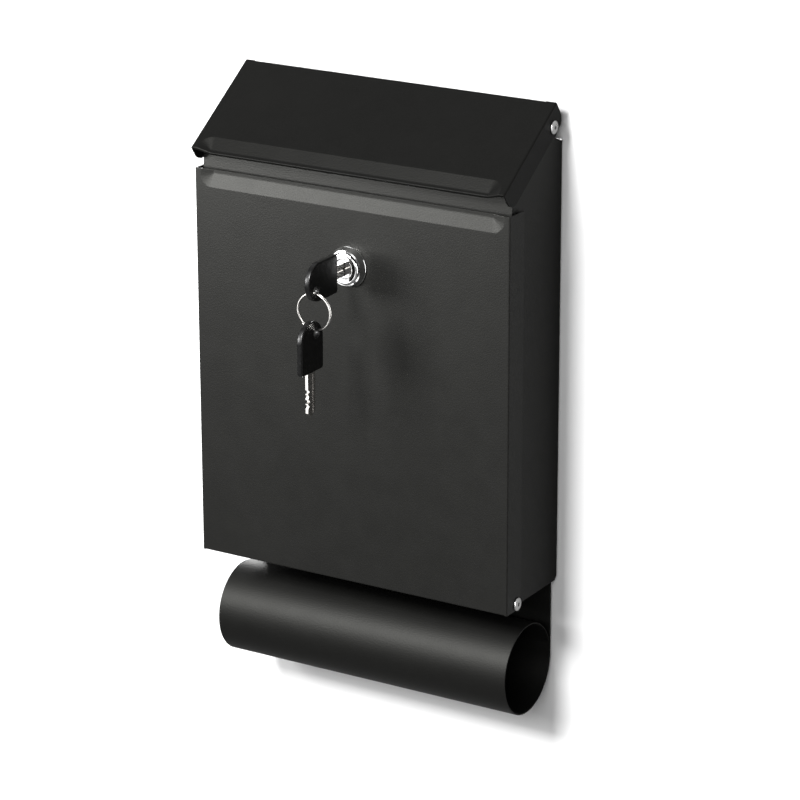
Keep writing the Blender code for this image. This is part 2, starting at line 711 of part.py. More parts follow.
def key_ring(holder, metal):
    """Split ring, closed up into one solid of the two turns' outer shape."""
    inner, outer = RING_RADIUS - RING_RADIAL / 2, RING_RADIUS + RING_RADIAL / 2
    edge, half = RING_EDGE, RING_AXIAL / 2
    profile = [
        (inner, -half + edge),
        (inner + edge, -half),
        (outer - edge, -half),
        (outer, -half + edge),
        (outer, half - edge),
        (outer - edge, half),
        (inner + edge, half),
        (inner, half - edge),
    ]
    ring = turned("key_ring", profile, 40)
    ring.data.transform(Matrix.Translation((0, KEY_HOLE_Y, RING_Z)))
    return place(ring, holder, metal)


def build():
    clear_scene()
    paint = finish_material("black_paint", (0.035, 0.035, 0.033), 0.55, 0.0)
    lid_paint = finish_material("black_paint_lid", (0.028, 0.028, 0.026), 0.55, 0.0)
    door_paint = finish_material("black_paint_door", (0.040, 0.040, 0.038), 0.55, 0.0)
    roll_paint = finish_material("black_paint_roll", (0.030, 0.030, 0.028), 0.5, 0.0)
    aluminium = finish_material("aluminium", (0.80, 0.80, 0.79), 0.35, 1.0)
    chrome = finish_material("chrome", (0.86, 0.86, 0.86), 0.08, 1.0)
    zinc = finish_material("zinc", (0.62, 0.62, 0.60), 0.35, 1.0)
    nickel = finish_material("nickel", (0.72, 0.70, 0.66), 0.25, 1.0)
    brass = finish_material("brass", (0.70, 0.55, 0.30), 0.35, 1.0)
    plastic = finish_material("black_plastic", (0.012, 0.012, 0.012), 0.25, 0.0)

    root = empty_at("mailbox", None, (0, 0, -ORIGIN_HEIGHT))
    lid = empty_at("lid_pivot", root, (0, *LID_PIVOT))
    door = empty_at("door_pivot", root, (0, *DOOR_PIVOT))
    core = empty_at("lock_axis", door, (0, LOCK_FACE_Y, LOCK_Z))
    key = empty_at("key_axis", core, (0, HEAD_Y, LOCK_Z))
    ring = empty_at("ring_axis", key, (0, KEY_HOLE_Y, RING_TOP_Z))
    spare = empty_at("spare_key_axis", ring, (0, KEY_HOLE_Y, RING_Z))

    body_shell(root, paint)
    bottom_panel(root, paint)
    front_fascia(root, paint)
    newspaper_tube(root, roll_paint)
    for side, word in ((-1, "left"), (1, "right")):
        blind_rivet(f"lid_rivet_{word}", root, aluminium, LID_PIVOT, LID_HALF, side)
        blind_rivet(f"door_rivet_{word}", root, aluminium, DOOR_PIVOT, DOOR_HALF, side)
    lid_panel(lid, lid_paint)
    door_panel(door, door_paint)
    lock_housing(door, chrome)
    lock_washer(door, zinc)
    lock_nut(door, zinc)
    lock_plug(core, chrome)
    for index in range(WAFER_COUNT):
        lock_wafer(index, core, brass)
    lock_cam(core, zinc)
    cam_washer(core, zinc)
    cam_screw(core, zinc)
    key_blade("key_blade", key, nickel, False)
    key_head("key_head", key, plastic, False)
    key_ring(ring, nickel)
    key_blade("spare_key_blade", spare, nickel, True)
    key_head("spare_key_head", spare, plastic, True)


build()
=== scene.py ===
"""Wall mounted mailbox: the finished look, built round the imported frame.

Each sub-assembly is a class with its sizes as fields. It models its pieces at their place in
the frame, dresses them in their finishes and hangs them on the body that they move with.
Metres, +Z up; X runs along the width, the wall is the plane y = 0 and the front faces -Y.
"""

import json
import logging
import math
from collections.abc import Callable, Iterator, Sequence
from contextlib import contextmanager
from dataclasses import dataclass
from enum import Enum

import bmesh
import bpy
from mathutils import Matrix, Vector

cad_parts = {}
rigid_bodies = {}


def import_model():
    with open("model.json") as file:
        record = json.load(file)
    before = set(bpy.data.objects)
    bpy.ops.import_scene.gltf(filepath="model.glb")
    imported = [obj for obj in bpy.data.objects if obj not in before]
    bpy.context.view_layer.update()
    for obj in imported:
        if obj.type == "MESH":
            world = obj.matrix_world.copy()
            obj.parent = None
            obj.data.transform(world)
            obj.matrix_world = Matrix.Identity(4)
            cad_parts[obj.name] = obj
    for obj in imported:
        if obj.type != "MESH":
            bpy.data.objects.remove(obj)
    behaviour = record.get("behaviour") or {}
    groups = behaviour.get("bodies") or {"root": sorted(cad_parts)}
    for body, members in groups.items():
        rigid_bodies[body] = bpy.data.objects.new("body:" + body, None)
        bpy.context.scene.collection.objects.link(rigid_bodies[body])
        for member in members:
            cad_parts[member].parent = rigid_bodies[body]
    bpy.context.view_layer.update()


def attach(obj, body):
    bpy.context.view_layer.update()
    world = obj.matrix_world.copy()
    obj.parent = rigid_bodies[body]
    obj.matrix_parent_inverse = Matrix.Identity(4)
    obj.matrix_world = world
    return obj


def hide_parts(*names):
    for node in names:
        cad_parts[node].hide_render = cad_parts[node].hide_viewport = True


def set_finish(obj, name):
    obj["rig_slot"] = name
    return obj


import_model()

log = logging.getLogger("mailbox")

Item = bpy.types.Object
Node = bpy.types.Node
Socket = bpy.types.NodeSocket
Point2 = tuple[float, float]
Test = Callable[[Vector], bool]

SHEET = 0.0009
FOLD = 0.0010
CUT_EDGE = 0.00016
SPARE = 0.004
TINY = 1e-6


class Axis(Enum):
    """The direction that a piece's local Z axis is turned to."""

    RIGHT = Matrix(((0, 0, 1), (1, 0, 0), (0, 1, 0)))
    LEFT = Matrix(((0, 0, -1), (-1, 0, 0), (0, 1, 0)))
    FRONT = Matrix(((1, 0, 0), (0, 0, -1), (0, 1, 0)))
    BACK = Matrix(((-1, 0, 0), (0, 0, 1), (0, 1, 0)))

    def turn(self) -> Matrix:
        """The 4 by 4 matrix of this direction."""
        return self.value.to_4x4()


class Cut(Enum):
    """What a piece does with another one's shape."""

    TAKE = "DIFFERENCE"
    KEEP = "INTERSECT"
    JOIN = "UNION"


# ---------------------------------------------------------------- workbench


def nothing_selected() -> None:
    """Leaves edit mode and deselects every object."""
    if bpy.context.mode != "OBJECT":
        bpy.ops.object.mode_set(mode="OBJECT")
    bpy.ops.object.select_all(action="DESELECT")


def take(item: Item) -> None:
    """Selects one object and makes it the active one.

    Args:
        item: The object.
    """
    nothing_selected()
    bpy.context.view_layer.objects.active = item
    item.select_set(True)


@contextmanager
def editing(item: Item, kind: str = "EDGE") -> Iterator[None]:
    """Opens a piece in edit mode with nothing selected.

    Args:
        item: The piece.
        kind: The select mode, VERT, EDGE or FACE.

    Returns:
        A context that leaves edit mode when it closes.
    """
    take(item)
    bpy.ops.object.mode_set(mode="EDIT")
    bpy.ops.mesh.select_mode(type=kind)
    bpy.ops.mesh.select_all(action="DESELECT")
    yield
    bpy.ops.object.mode_set(mode="OBJECT")


def pick_edges(item: Item, test: Test, border: bool = False) -> None:
    """Selects, in edit mode, just the edges whose two ends both pass a test.

    Args:
        item: The piece in edit mode.
        test: Says yes or no to a place in the piece's own coordinates.
        border: Whether only open edges count.
    """
    bpy.ops.mesh.select_all(action="DESELECT")
    mesh = bmesh.from_edit_mesh(item.data)
    for edge in mesh.edges:
        if (edge.is_boundary or not border) and all(test(vert.co) for vert in edge.verts):
            edge.select_set(True)
    bmesh.update_edit_mesh(item.data)


def pick_border(item: Item, test: Test) -> None:
    """Selects, in edit mode, just the open edges whose two ends both pass a test."""
    pick_edges(item, test, border=True)


def pull(x: float = 0.0, y: float = 0.0, z: float = 0.0) -> None:
    """Extrudes what is selected by a shift."""
    bpy.ops.mesh.extrude_region_move(TRANSFORM_OT_translate={"value": (x, y, z)})


def slice_at(item: Item, axis: int, places: Sequence[float]) -> None:
    """Cuts a piece through with planes across one of its axes, so that it has edges there.

    Args:
        item: The piece.
        axis: 0, 1 or 2.
        places: Where the planes stand along that axis.
    """
    normal = [0.0, 0.0, 0.0]
    normal[axis] = 1.0
    with editing(item):
        for place in places:
            spot = [0.0, 0.0, 0.0]
            spot[axis] = place
            bpy.ops.mesh.select_all(action="SELECT")
            bpy.ops.mesh.bisect(plane_co=spot, plane_no=normal)


def steps(low: float, high: float, count: int) -> list[float]:
    """Evenly spaced places between two ends, without the ends."""
    return [low + (high - low) * index / count for index in range(1, count)]


def fold_at(item: Item, test: Test, radius: float = FOLD) -> None:
    """Rounds the fold edges whose ends pass a test.

    Args:
        item: The piece.
        test: Picks the fold edges by their ends.
        radius: The fold's radius.
    """
    with editing(item):
        pick_edges(item, test)
        bpy.ops.mesh.bevel(offset=radius, segments=5, affect="EDGES", clamp_overlap=True)


def run_modifier(item: Item, kind: str, **settings: object) -> None:
    """Adds a modifier, sets it and applies it.

    Args:
        item: The piece.
        kind: The modifier's type.
        settings: Its properties by name.
    """
    take(item)
    modifier = item.modifiers.new(kind.title(), kind)
    for name, value in settings.items():
        setattr(modifier, name, value)
    bpy.ops.object.modifier_apply(modifier=modifier.name)


def give_thickness(item: Item, thickness: float = SHEET) -> None:
    """Makes a skin into sheet, growing to its inner side."""
    run_modifier(item, "SOLIDIFY", thickness=thickness, offset=-1.0, use_even_offset=True)


def soften(item: Item, width: float = CUT_EDGE, angle: float = 50.0, segments: int = 2) -> None:
    """Rounds every edge sharper than an angle, in degrees.

    Args:
        item: The piece.
        width: How much is taken off each edge.
        angle: The angle.
        segments: How many faces round the edge.
    """
    run_modifier(
        item,
        "BEVEL",
        width=width,
        segments=segments,
        limit_method="ANGLE",
        angle_limit=math.radians(angle),
        use_clamp_overlap=True,
    )


def shape_with(item: Item, how: Cut, *others: Item) -> None:
    """Cuts, keeps or joins a piece with others, which are used up.

    Args:
        item: The piece that is shaped.
        how: What is done with the others.
        others: The other pieces.
    """
    for other in others:
        run_modifier(item, "BOOLEAN", operation=how.value, solver="EXACT", object=other)
        bpy.data.objects.remove(other, do_unlink=True)


def settle(item: Item) -> None:
    """Puts the piece's place into its mesh, so that the object sits unturned at the origin."""
    take(item)
    bpy.ops.object.transform_apply(location=True, rotation=True, scale=True)


def clean(item: Item) -> None:
    """Merges doubles and points every face outwards.

    Args:
        item: The piece.
    """
    with editing(item):
        bpy.ops.mesh.select_all(action="SELECT")
        bpy.ops.mesh.remove_doubles(threshold=TINY)
        bpy.ops.mesh.normals_make_consistent(inside=False)


def smooth(item: Item, angle: float = 32.0) -> None:
    """Shades a piece smooth over its soft edges, with its large faces kept flat.

    Args:
        item: The piece.
        angle: The sharpest angle, in degrees, that is shaded smooth.
    """
    take(item)
    bpy.ops.object.shade_smooth_by_angle(angle=math.radians(angle))
    run_modifier(item, "WEIGHTED_NORMAL", mode="FACE_AREA", weight=100, keep_sharp=True)


def put(item: Item, axis: Axis, place: Vector) -> None:
    """Turns a piece from local Z to a direction, moves it to its place and settles it."""
    item.matrix_world = Matrix.Translation(place) @ axis.turn()
    settle(item)


def named(item: Item, name: str) -> Item:
    """Gives an object and its mesh their name.

    Args:
        item: The object.
        name: The name.

    Returns:
        The same object.
    """
    item.name = name
    item.data.name = name
    return item


def skin(name: str, width: float, height: float, middle: Vector) -> Item:
    """A flat face in its own XY plane, from which a sheet piece is folded.

    Args:
        name: The piece's name.
        width: Its size along X.
        height: Its size along Y.
        middle: The place of its middle.

    Returns:
        The new object.
    """
    nothing_selected()
    bpy.ops.mesh.primitive_plane_add(size=1.0, location=middle)
    item = named(bpy.context.object, name)
    item.scale = (width, height, 1.0)
    settle(item)
    return item


def block(low: Sequence[float], high: Sequence[float]) -> Item:
    """A box between two corners, used as a cutter or joined to a piece.

    Args:
        low: The corner with the smallest coordinates.
        high: The opposite corner.

    Returns:
        The new object.
    """
    nothing_selected()
    middle = [(a + b) / 2 for a, b in zip(low, high)]
    bpy.ops.mesh.primitive_cube_add(size=1.0, location=middle)
    item = bpy.context.object
    item.scale = [b - a for a, b in zip(low, high)]
    settle(item)
    return item


def bar(axis: Axis, place: Vector, radius: float, length: float, sides: int = 48) -> Item:
    """A round bar centred on a place, used as a cutter or joined to a piece.

    Args:
        axis: The direction that it runs in.
        place: Its middle.
        radius: Its radius.
        length: Its length.
        sides: How many sides it has.

    Returns:
        The new object.
    """
    nothing_selected()
    bpy.ops.mesh.primitive_cylinder_add(vertices=sides, radius=radius, depth=length)
    item = bpy.context.object
    put(item, axis, place)
    return item


def arc(centre: Point2, radius: float, start: float, end: float, count: int) -> list[Point2]:
    """Points on an arc, both ends included, with the angles in degrees.

    Args:
        centre: The arc's centre.
        radius: Its radius.
        start: The first angle.
        end: The last angle.
        count: How many steps there are.

    Returns:
        The points in order.
    """
    points = []
    for index in range(count + 1):
        angle = math.radians(start + (end - start) * index / count)
        points.append((centre[0] + radius * math.cos(angle), centre[1] + radius * math.sin(angle)))
    return points


def plate(
    name: str, outlines: Sequence[Sequence[Point2]], thickness: float, edge: float = 0.0
) -> Item:
    """A flat plate made from a filled curve; outlines inside the first are holes.

    Args:
        name: The piece's name.
        outlines: Closed outlines in the plate's own XY plane.
        thickness: The whole thickness, half to each side of that plane.
        edge: The radius of its rounded edges.

    Returns:
        The plate as a mesh with closed, outward faces.
    """
    curve = bpy.data.curves.new(name, "CURVE")
    curve.dimensions = "2D"
    curve.fill_mode = "BOTH"
    curve.extrude = thickness / 2 - edge
    curve.bevel_depth = edge
    curve.bevel_resolution = 2
    curve.offset = -edge
    for outline in outlines:
        spline = curve.splines.new("POLY")
        spline.points.add(len(outline) - 1)
        for point, (x, y) in zip(spline.points, outline):
            point.co = (x, y, 0.0, 1.0)
        spline.use_cyclic_u = True
    item = bpy.data.objects.new(name, curve)
    bpy.context.scene.collection.objects.link(item)
    take(item)
    bpy.ops.object.convert(target="MESH")
    item = named(bpy.context.object, name)
    clean(item)
    return item


def turned(name: str, stations: Sequence[Point2], sides: int = 64, ring: bool = False) -> Item:
    """A round piece, raised from a circle by extruding and resizing it at each station.

    Args:
        name: The piece's name.
        stations: (radius, height) along local Z, in order.
        sides: How many sides the circle has.
        ring: True where the profile closes on itself; else both ends are capped.

    Returns:
        The new object, standing on local Z.
    """
    nothing_selected()
    first_radius, height = stations[0]
    bpy.ops.mesh.primitive_circle_add(vertices=sides, radius=first_radius, location=(0, 0, height))
    item = named(bpy.context.object, name)
    settle(item)
    radius = first_radius
    following = list(stations[1:]) + ([stations[0]] if ring else [])
    with editing(item):
        bpy.ops.mesh.select_all(action="SELECT")
        for next_radius, next_height in following:
            pull(z=next_height - height)
            if abs(next_radius - radius) > TINY:
                factor = next_radius / radius
                centre = (0, 0, next_height)
                bpy.ops.transform.resize(value=(factor, factor, 1), center_override=centre)
            radius, height = next_radius, next_height
        if not ring:
            pick_border(item, lambda spot: True)
            bpy.ops.mesh.fill_holes(sides=0)
    clean(item)
    return item


def rounded_inside(x: float, y: float, half: float, corner: float) -> float:
    """How far a point lies inside a strip that is open upwards and has round lower corners.

    Args:
        x: Along the strip.
        y: Above the strip's lower boundary.
        half: Half of the strip's length.
        corner: The radius of its lower corners.

    Returns:
        The distance from the boundary, zero outside.
    """
    inset_x = half - corner - abs(x)
    inset_y = y - corner
    if inset_x < 0 and inset_y < 0:
        return max(0.0, corner - math.hypot(inset_x, inset_y))
    return max(0.0, min(inset_x, inset_y) + corner)


# ---------------------------------------------------------------- finishes


class Tree:
    """Adds and links nodes in a material's or a group's node tree."""

    def __init__(self, tree: bpy.types.NodeTree) -> None:
        """Keeps the tree that is worked on."""
        self.tree = tree

    def add(self, kind: str, **settings: object) -> Node:
        """A new node with its properties set.

        Args:
            kind: The node's type.
            settings: Its properties by name.

        Returns:
            The node.
        """
        node = self.tree.nodes.new(kind)
        for name, value in settings.items():
            setattr(node, name, value)
        return node

    def link(self, source: Socket, target: Socket) -> None:
        """Joins two sockets."""
        self.tree.links.new(source, target)

    def noise(self, where: Socket, scale: float, detail: float = 2.0) -> Socket:
        """A noise texture's value at a place.

        Args:
            where: The coordinates.
            scale: The noise's scale.
            detail: How many finer layers it has.

        Returns:
            The value.
        """
        node = self.add("ShaderNodeTexNoise")
        node.inputs["Scale"].default_value = scale
        node.inputs["Detail"].default_value = detail
        self.link(where, node.inputs["Vector"])
        return node.outputs["Fac"]

    def spread(
        self, value: Socket, source: Point2, target: Point2
    ) -> Socket:
        """Maps a value from one range to another, clamped.

        Args:
            value: The value.
            source: The range that it comes from.
            target: The range that it goes to.

        Returns:
            The mapped value.
        """
        node = self.add("ShaderNodeMapRange")
        self.link(value, node.inputs["Value"])
        for name, number in zip(("From Min", "From Max", "To Min", "To Max"), (*source, *target)):
            node.inputs[name].default_value = number
        return node.outputs["Result"]

    def math(
        self,
        how: str,
        first: Socket | float,
        second: Socket | float,
    ) -> Socket:
        """One sum, product or other operation on two values.

        Args:
            how: The Math node's operation.
            first: The first value.
            second: The second value.

        Returns:
            The result.
        """
        node = self.add("ShaderNodeMath", operation=how)
        for socket, value in zip(node.inputs, (first, second)):
            if isinstance(value, (int, float)):
                socket.default_value = value
            else:
                self.link(value, socket)
        return node.outputs[0]


def new_group(name: str, inputs: dict[str, float], outputs: Sequence[str]) -> Tree:
    """An empty node group with a Vector input, named number inputs and number outputs.

    Args:
        name: The group's name.
        inputs: Each number input and its starting value.
        outputs: The names of its outputs.

    Returns:
        The group's tree, with its two end nodes named In and Out.
    """
    group = bpy.data.node_groups.new(name, "ShaderNodeTree")
    group.interface.new_socket("Vector", in_out="INPUT", socket_type="NodeSocketVector")
    for label, value in inputs.items():
        socket = group.interface.new_socket(label, in_out="INPUT", socket_type="NodeSocketFloat")
        socket.default_value = value
    for label in outputs:
        group.interface.new_socket(label, in_out="OUTPUT", socket_type="NodeSocketFloat")
    tree = Tree(group)
    tree.add("NodeGroupInput", name="In")
    tree.add("NodeGroupOutput", name="Out")
    return tree


def coat_grain_group() -> bpy.types.NodeTree:
    """The pebbled surface of baked powder: a fine grain over a softer orange peel.

    Returns:
        The node group.
    """
    tree = new_group("coat_grain", {"Grain Scale": 1.0, "Peel": 0.4}, ("Height", "Speck"))
    start, end = tree.tree.nodes["In"], tree.tree.nodes["Out"]
    sized = tree.add("ShaderNodeVectorMath", operation="SCALE")
    tree.link(start.outputs["Vector"], sized.inputs[0])
    tree.link(start.outputs["Grain Scale"], sized.inputs["Scale"])
    cells = tree.add("ShaderNodeTexVoronoi", feature="SMOOTH_F1")
    cells.inputs["Scale"].default_value = 1500.0
    cells.inputs["Smoothness"].default_value = 0.6
    tree.link(sized.outputs[0], cells.inputs["Vector"])
    grain = tree.spread(cells.outputs["Distance"], (0.0, 0.7), (1.0, 0.0))
    rough = tree.noise(sized.outputs[0], 2600.0, 1.0)
    fine = tree.math("ADD", grain, tree.math("MULTIPLY", rough, 0.6))
    peel = tree.noise(sized.outputs[0], 420.0, 2.0)
    soft = tree.math("MULTIPLY", peel, start.outputs["Peel"])
    tree.link(tree.math("ADD", fine, soft), end.inputs["Height"])
    tree.link(tree.spread(rough, (0.62, 0.78), (0.0, 1.0)), end.inputs["Speck"])
    return tree.tree


def handling_group() -> bpy.types.NodeTree:
    """Slow, faint changes of shade and gloss from handling and dust.

    Returns:
        The node group.
    """
    tree = new_group("handling", {"Size": 1.0}, ("Tone", "Haze"))
    start, end = tree.tree.nodes["In"], tree.tree.nodes["Out"]
    sized = tree.add("ShaderNodeVectorMath", operation="SCALE")
    tree.link(start.outputs["Vector"], sized.inputs[0])
    tree.link(start.outputs["Size"], sized.inputs["Scale"])
    broad = tree.noise(sized.outputs[0], 9.0, 3.0)
    mottle = tree.noise(sized.outputs[0], 70.0, 4.0)
    tone = tree.math("ADD", tree.math("MULTIPLY", broad, 0.7), tree.math("MULTIPLY", mottle, 0.3))
    tree.link(tree.spread(tone, (0.3, 0.7), (0.0, 1.0)), end.inputs["Tone"])
    tree.link(tree.spread(mottle, (0.35, 0.75), (0.0, 1.0)), end.inputs["Haze"])
    return tree.tree


def fine_lines_group() -> bpy.types.NodeTree:
    """Hairline drawing marks along one axis, as on rolled, turned or polished metal.

    Returns:
        The node group.
    """
    inputs = {"Stretch X": 1.0, "Stretch Y": 1.0, "Stretch Z": 1.0}
    tree = new_group("fine_lines", inputs, ("Lines", "Nicks"))
    start, end = tree.tree.nodes["In"], tree.tree.nodes["Out"]
    sizes = tree.add("ShaderNodeCombineXYZ")
    for axis in "XYZ":
        tree.link(start.outputs[f"Stretch {axis}"], sizes.inputs[axis])
    drawn = tree.add("ShaderNodeVectorMath", operation="MULTIPLY")
    tree.link(start.outputs["Vector"], drawn.inputs[0])
    tree.link(sizes.outputs[0], drawn.inputs[1])
    lines = tree.noise(drawn.outputs[0], 900.0, 3.0)
    nicks = tree.noise(start.outputs["Vector"], 1800.0, 2.0)
    tree.link(lines, end.inputs["Lines"])
    tree.link(tree.spread(nicks, (0.66, 0.74), (0.0, 1.0)), end.inputs["Nicks"])
    return tree.tree


class Groups:
    """The shared node groups, each built once."""

    made: dict[str, bpy.types.NodeTree] = {}
    makers = {
        "coat_grain": coat_grain_group,
        "handling": handling_group,
        "fine_lines": fine_lines_group,
    }

    @classmethod
    def get(cls, name: str) -> bpy.types.NodeTree:
        """The group of that name, built on first use.

        Args:
            name: The group's name.

        Returns:
            The node group.
        """
        if name not in cls.made:
            cls.made[name] = cls.makers[name]()
        return cls.made[name]


def start_material(name: str) -> tuple[bpy.types.Material, Tree, Node, Socket]:
    """A new node material.

    Args:
        name: The material's name.

    Returns:
        The material, its tree, its Principled shader and the Object coordinates.
    """
    material = bpy.data.materials.new(name)
    material.use_nodes = True
    tree = Tree(material.node_tree)
    shader = material.node_tree.nodes["Principled BSDF"]
    where = tree.add("ShaderNodeTexCoord").outputs["Object"]
    return material, tree, shader, where


def use_group(tree: Tree, name: str, where: Socket, **values: float) -> Node:
    """Places a shared group with its own values; underscores stand for spaces.

    Args:
        tree: The material's tree.
        name: The group's name.
        where: The coordinates that it works in.
        values: Its numbers by name.

    Returns:
        The group's node.
    """
    node = tree.add("ShaderNodeGroup", node_tree=Groups.get(name))
    tree.link(where, node.inputs["Vector"])
    for label, value in values.items():
        node.inputs[label.replace("_", " ")].default_value = value
    return node


def two_tone(
    tree: Tree, factor: Socket, dark: Sequence[float], light: Sequence[float]
) -> Socket:
    """A colour between two, by a mask.

    Args:
        tree: The tree that the node goes into.
        factor: The mask, 0 to 1.
        dark: The colour at 0.
        light: The colour at 1.

    Returns:
        The mixed colour.
    """
    mix = tree.add("ShaderNodeMix", data_type="RGBA")
    mix.inputs["A"].default_value = (*dark, 1.0)
    mix.inputs["B"].default_value = (*light, 1.0)
    tree.link(factor, mix.inputs["Factor"])
    return mix.outputs["Result"]


def add_bump(
    tree: Tree,
    shader: Node,
    height: Socket,
    strength: float,
    distance: float,
) -> None:
    """Feeds a height into the shader's normal.

    Args:
        tree: The material's tree.
        shader: The Principled shader.
        height: The height over the surface.
        strength: How strongly it shows.
        distance: The height of 1, in metres.
    """
    bump = tree.add("ShaderNodeBump")
    bump.inputs["Strength"].default_value = strength
    bump.inputs["Distance"].default_value = distance
    tree.link(height, bump.inputs["Height"])
    tree.link(bump.outputs["Normal"], shader.inputs["Normal"])


@dataclass(frozen=True)
class PowderCoat:
    """Baked powder on sheet steel: nearly black, finely pebbled, with a soft sheen."""

    name: str
    shade: float = 0.0045
    gloss: float = 0.46
    sheen: float = 0.40
    grain: float = 0.75
    relief: float = 0.000045

    def material(self) -> bpy.types.Material:
        """Builds the node material.

        Returns:
            The material.
        """
        material, tree, shader, where = start_material(self.name)
        grain = use_group(tree, "coat_grain", where, Grain_Scale=self.grain)
        hand = use_group(tree, "handling", where)
        warm = (1.0, 1.0, 0.94)
        dark = [self.shade * 0.86 * part for part in warm]
        light = [self.shade * 1.14 * part for part in warm]
        base = two_tone(tree, hand.outputs["Tone"], dark, light)
        speck = tree.add("ShaderNodeMix", data_type="RGBA")
        tree.link(tree.math("MULTIPLY", grain.outputs["Speck"], 0.35), speck.inputs["Factor"])
        tree.link(base, speck.inputs["A"])
        speck.inputs["B"].default_value = [self.shade * 3.2 * part for part in warm] + [1.0]
        tree.link(speck.outputs["Result"], shader.inputs["Base Color"])
        gloss = (self.gloss - 0.01, self.gloss + 0.015)
        haze = tree.spread(hand.outputs["Haze"], (0.0, 1.0), gloss)
        tree.link(haze, shader.inputs["Roughness"])
        shader.inputs["Specular IOR Level"].default_value = self.sheen
        shader.inputs["Specular Tint"].default_value = (1.0, 1.0, 0.95, 1.0)
        add_bump(tree, shader, grain.outputs["Height"], 0.75, self.relief)
        return material


@dataclass(frozen=True)
class PlatedMetal:
    """Bare or plated metal with drawing lines, small nicks and uneven polish."""

    name: str
    tint: tuple[float, float, float]
    roughness: float
    stretch: tuple[float, float, float] = (1.0, 1.0, 1.0)
    relief: float = 0.000004
    spread: float = 0.08

    def material(self) -> bpy.types.Material:
        """Builds the node material.

        Returns:
            The material.
        """
        material, tree, shader, where = start_material(self.name)
        x, y, z = self.stretch
        lines = use_group(tree, "fine_lines", where, Stretch_X=x, Stretch_Y=y, Stretch_Z=z)
        hand = use_group(tree, "handling", where, Size=4.0)
        dull = [part * 0.88 for part in self.tint]
        colour = two_tone(tree, hand.outputs["Tone"], dull, self.tint)
        tree.link(colour, shader.inputs["Base Color"])
        low, high = self.roughness, self.roughness + self.spread
        worn = tree.spread(lines.outputs["Lines"], (0.3, 0.7), (low, high))
        nicked = tree.math("ADD", worn, tree.math("MULTIPLY", lines.outputs["Nicks"], 0.1))
        tree.link(nicked, shader.inputs["Roughness"])
        shader.inputs["Metallic"].default_value = 1.0
        add_bump(tree, shader, lines.outputs["Lines"], 0.4, self.relief)
        return material


@dataclass(frozen=True)
class MouldedPlastic:
    """Glossy moulded plastic with a faint skin and rubbed patches."""

    name: str
    shade: float = 0.0025
    roughness: float = 0.34

    def material(self) -> bpy.types.Material:
        """Builds the node material.

        Returns:
            The material.
        """
        material, tree, shader, where = start_material(self.name)
        grain = use_group(tree, "coat_grain", where, Grain_Scale=0.7, Peel=1.2)
        hand = use_group(tree, "handling", where, Size=5.0)
        dark = [self.shade * 0.8] * 3
        light = [self.shade * 1.3] * 3
        tree.link(two_tone(tree, hand.outputs["Tone"], dark, light), shader.inputs["Base Color"])
        low, high = self.roughness, self.roughness + 0.10
        rubbed = tree.spread(hand.outputs["Haze"], (0.2, 1.0), (low, high))
        tree.link(rubbed, shader.inputs["Roughness"])
        shader.inputs["Coat Roughness"].default_value = 0.08
        shader.inputs["Coat Weight"].default_value = 0.15
        add_bump(tree, shader, grain.outputs["Height"], 0.10, 0.00001)
        return material


BODY_PAINT = PowderCoat("body_paint")
# Painted shade: a darker copy of the one powder coat, standing in for the dim light on the lid's
# upturned face.
LID_COAT_PAINTED_SHADE = PowderCoat("lid_paint", shade=0.0028, sheen=0.22)
# Painted light: a lighter copy of the one powder coat, standing in for the light falling on the
# door's face.
DOOR_COAT_PAINTED_LIGHT = PowderCoat("door_paint", shade=0.0065, sheen=0.44)
# Painted shade: a darker copy of the one powder coat, standing in for the shade on the tube's
# underside and inside.
ROLL_COAT_PAINTED_SHADE = PowderCoat("roll_paint", shade=0.0030, gloss=0.52, sheen=0.34, relief=0.000045)
RIVET_METAL = PlatedMetal("rivet_aluminium", (0.86, 0.86, 0.85), 0.26, relief=0.00001)
CHROME = PlatedMetal("lock_chrome", (0.90, 0.90, 0.90), 0.08, relief=0.0000008, spread=0.03)
ZINC = PlatedMetal("lock_zinc", (0.66, 0.66, 0.63), 0.28, stretch=(0.2, 1.0, 1.0))
BRASS = PlatedMetal("wafer_brass", (0.76, 0.60, 0.33), 0.26, stretch=(1.0, 1.0, 0.1))
NICKEL = PlatedMetal(
    "key_nickel", (0.80, 0.78, 0.75), 0.20, stretch=(1.0, 0.15, 0.15), relief=0.000001
)
KEY_PLASTIC = MouldedPlastic("key_plastic")

Finish = PowderCoat | PlatedMetal | MouldedPlastic


class Wardrobe:
    """Builds each finish's material once and dresses pieces in it."""

    made: dict[str, bpy.types.Material] = {}

    @classmethod
    def dress(cls, item: Item, finish: Finish) -> None:
        """Gives a piece a finish as its only material.

        Args:
            item: The piece.
            finish: The finish.
        """
        if finish.name not in cls.made:
            cls.made[finish.name] = finish.material()
        item.data.materials.clear()
        item.data.materials.append(cls.made[finish.name])


def hand_over(item: Item, finish: Finish, body: str, *nodes: str) -> Item:
    """Dresses a finished piece, hangs it on its body and lets it stand for its CAD nodes.

    Args:
        item: The piece, at its place.
        finish: What it is finished in; its name is the record's slot.
        body: The CAD body that it moves with.
        nodes: The CAD nodes that it stands for.

    Returns:
        The piece.
    """
    move_by(item, Matrix.Translation((0, 0, -ORIGIN_HEIGHT)))
    Wardrobe.dress(item, finish)
    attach(item, body)
    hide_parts(*nodes)
    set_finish(item, finish.name)
    log.info("%s: %d faces, on %s", item.name, len(item.data.polygons), body)
    return item


# ---------------------------------------------------------------- sizes shared by the pieces

ORIGIN_HEIGHT = 0.1375
BODY_HALF = 0.1053
BODY_INSIDE = BODY_HALF - SHEET
BODY_DEPTH = 0.0580
LID_SLOPE = math.radians(34.2)
LID_TOP = Vector((0.0, -0.0104, 0.2979))
LID_PIVOT = (-0.01377, 0.28400)
DOOR_FACE_Y = -0.0655
DOOR_PIVOT = (-0.0535, 0.0038)
LOCK_Z = 0.1980
LOCK_FACE_Y = -0.0720
KEY_SHOULDER_Y = -0.0805
RIVET_HOLE = 0.0023

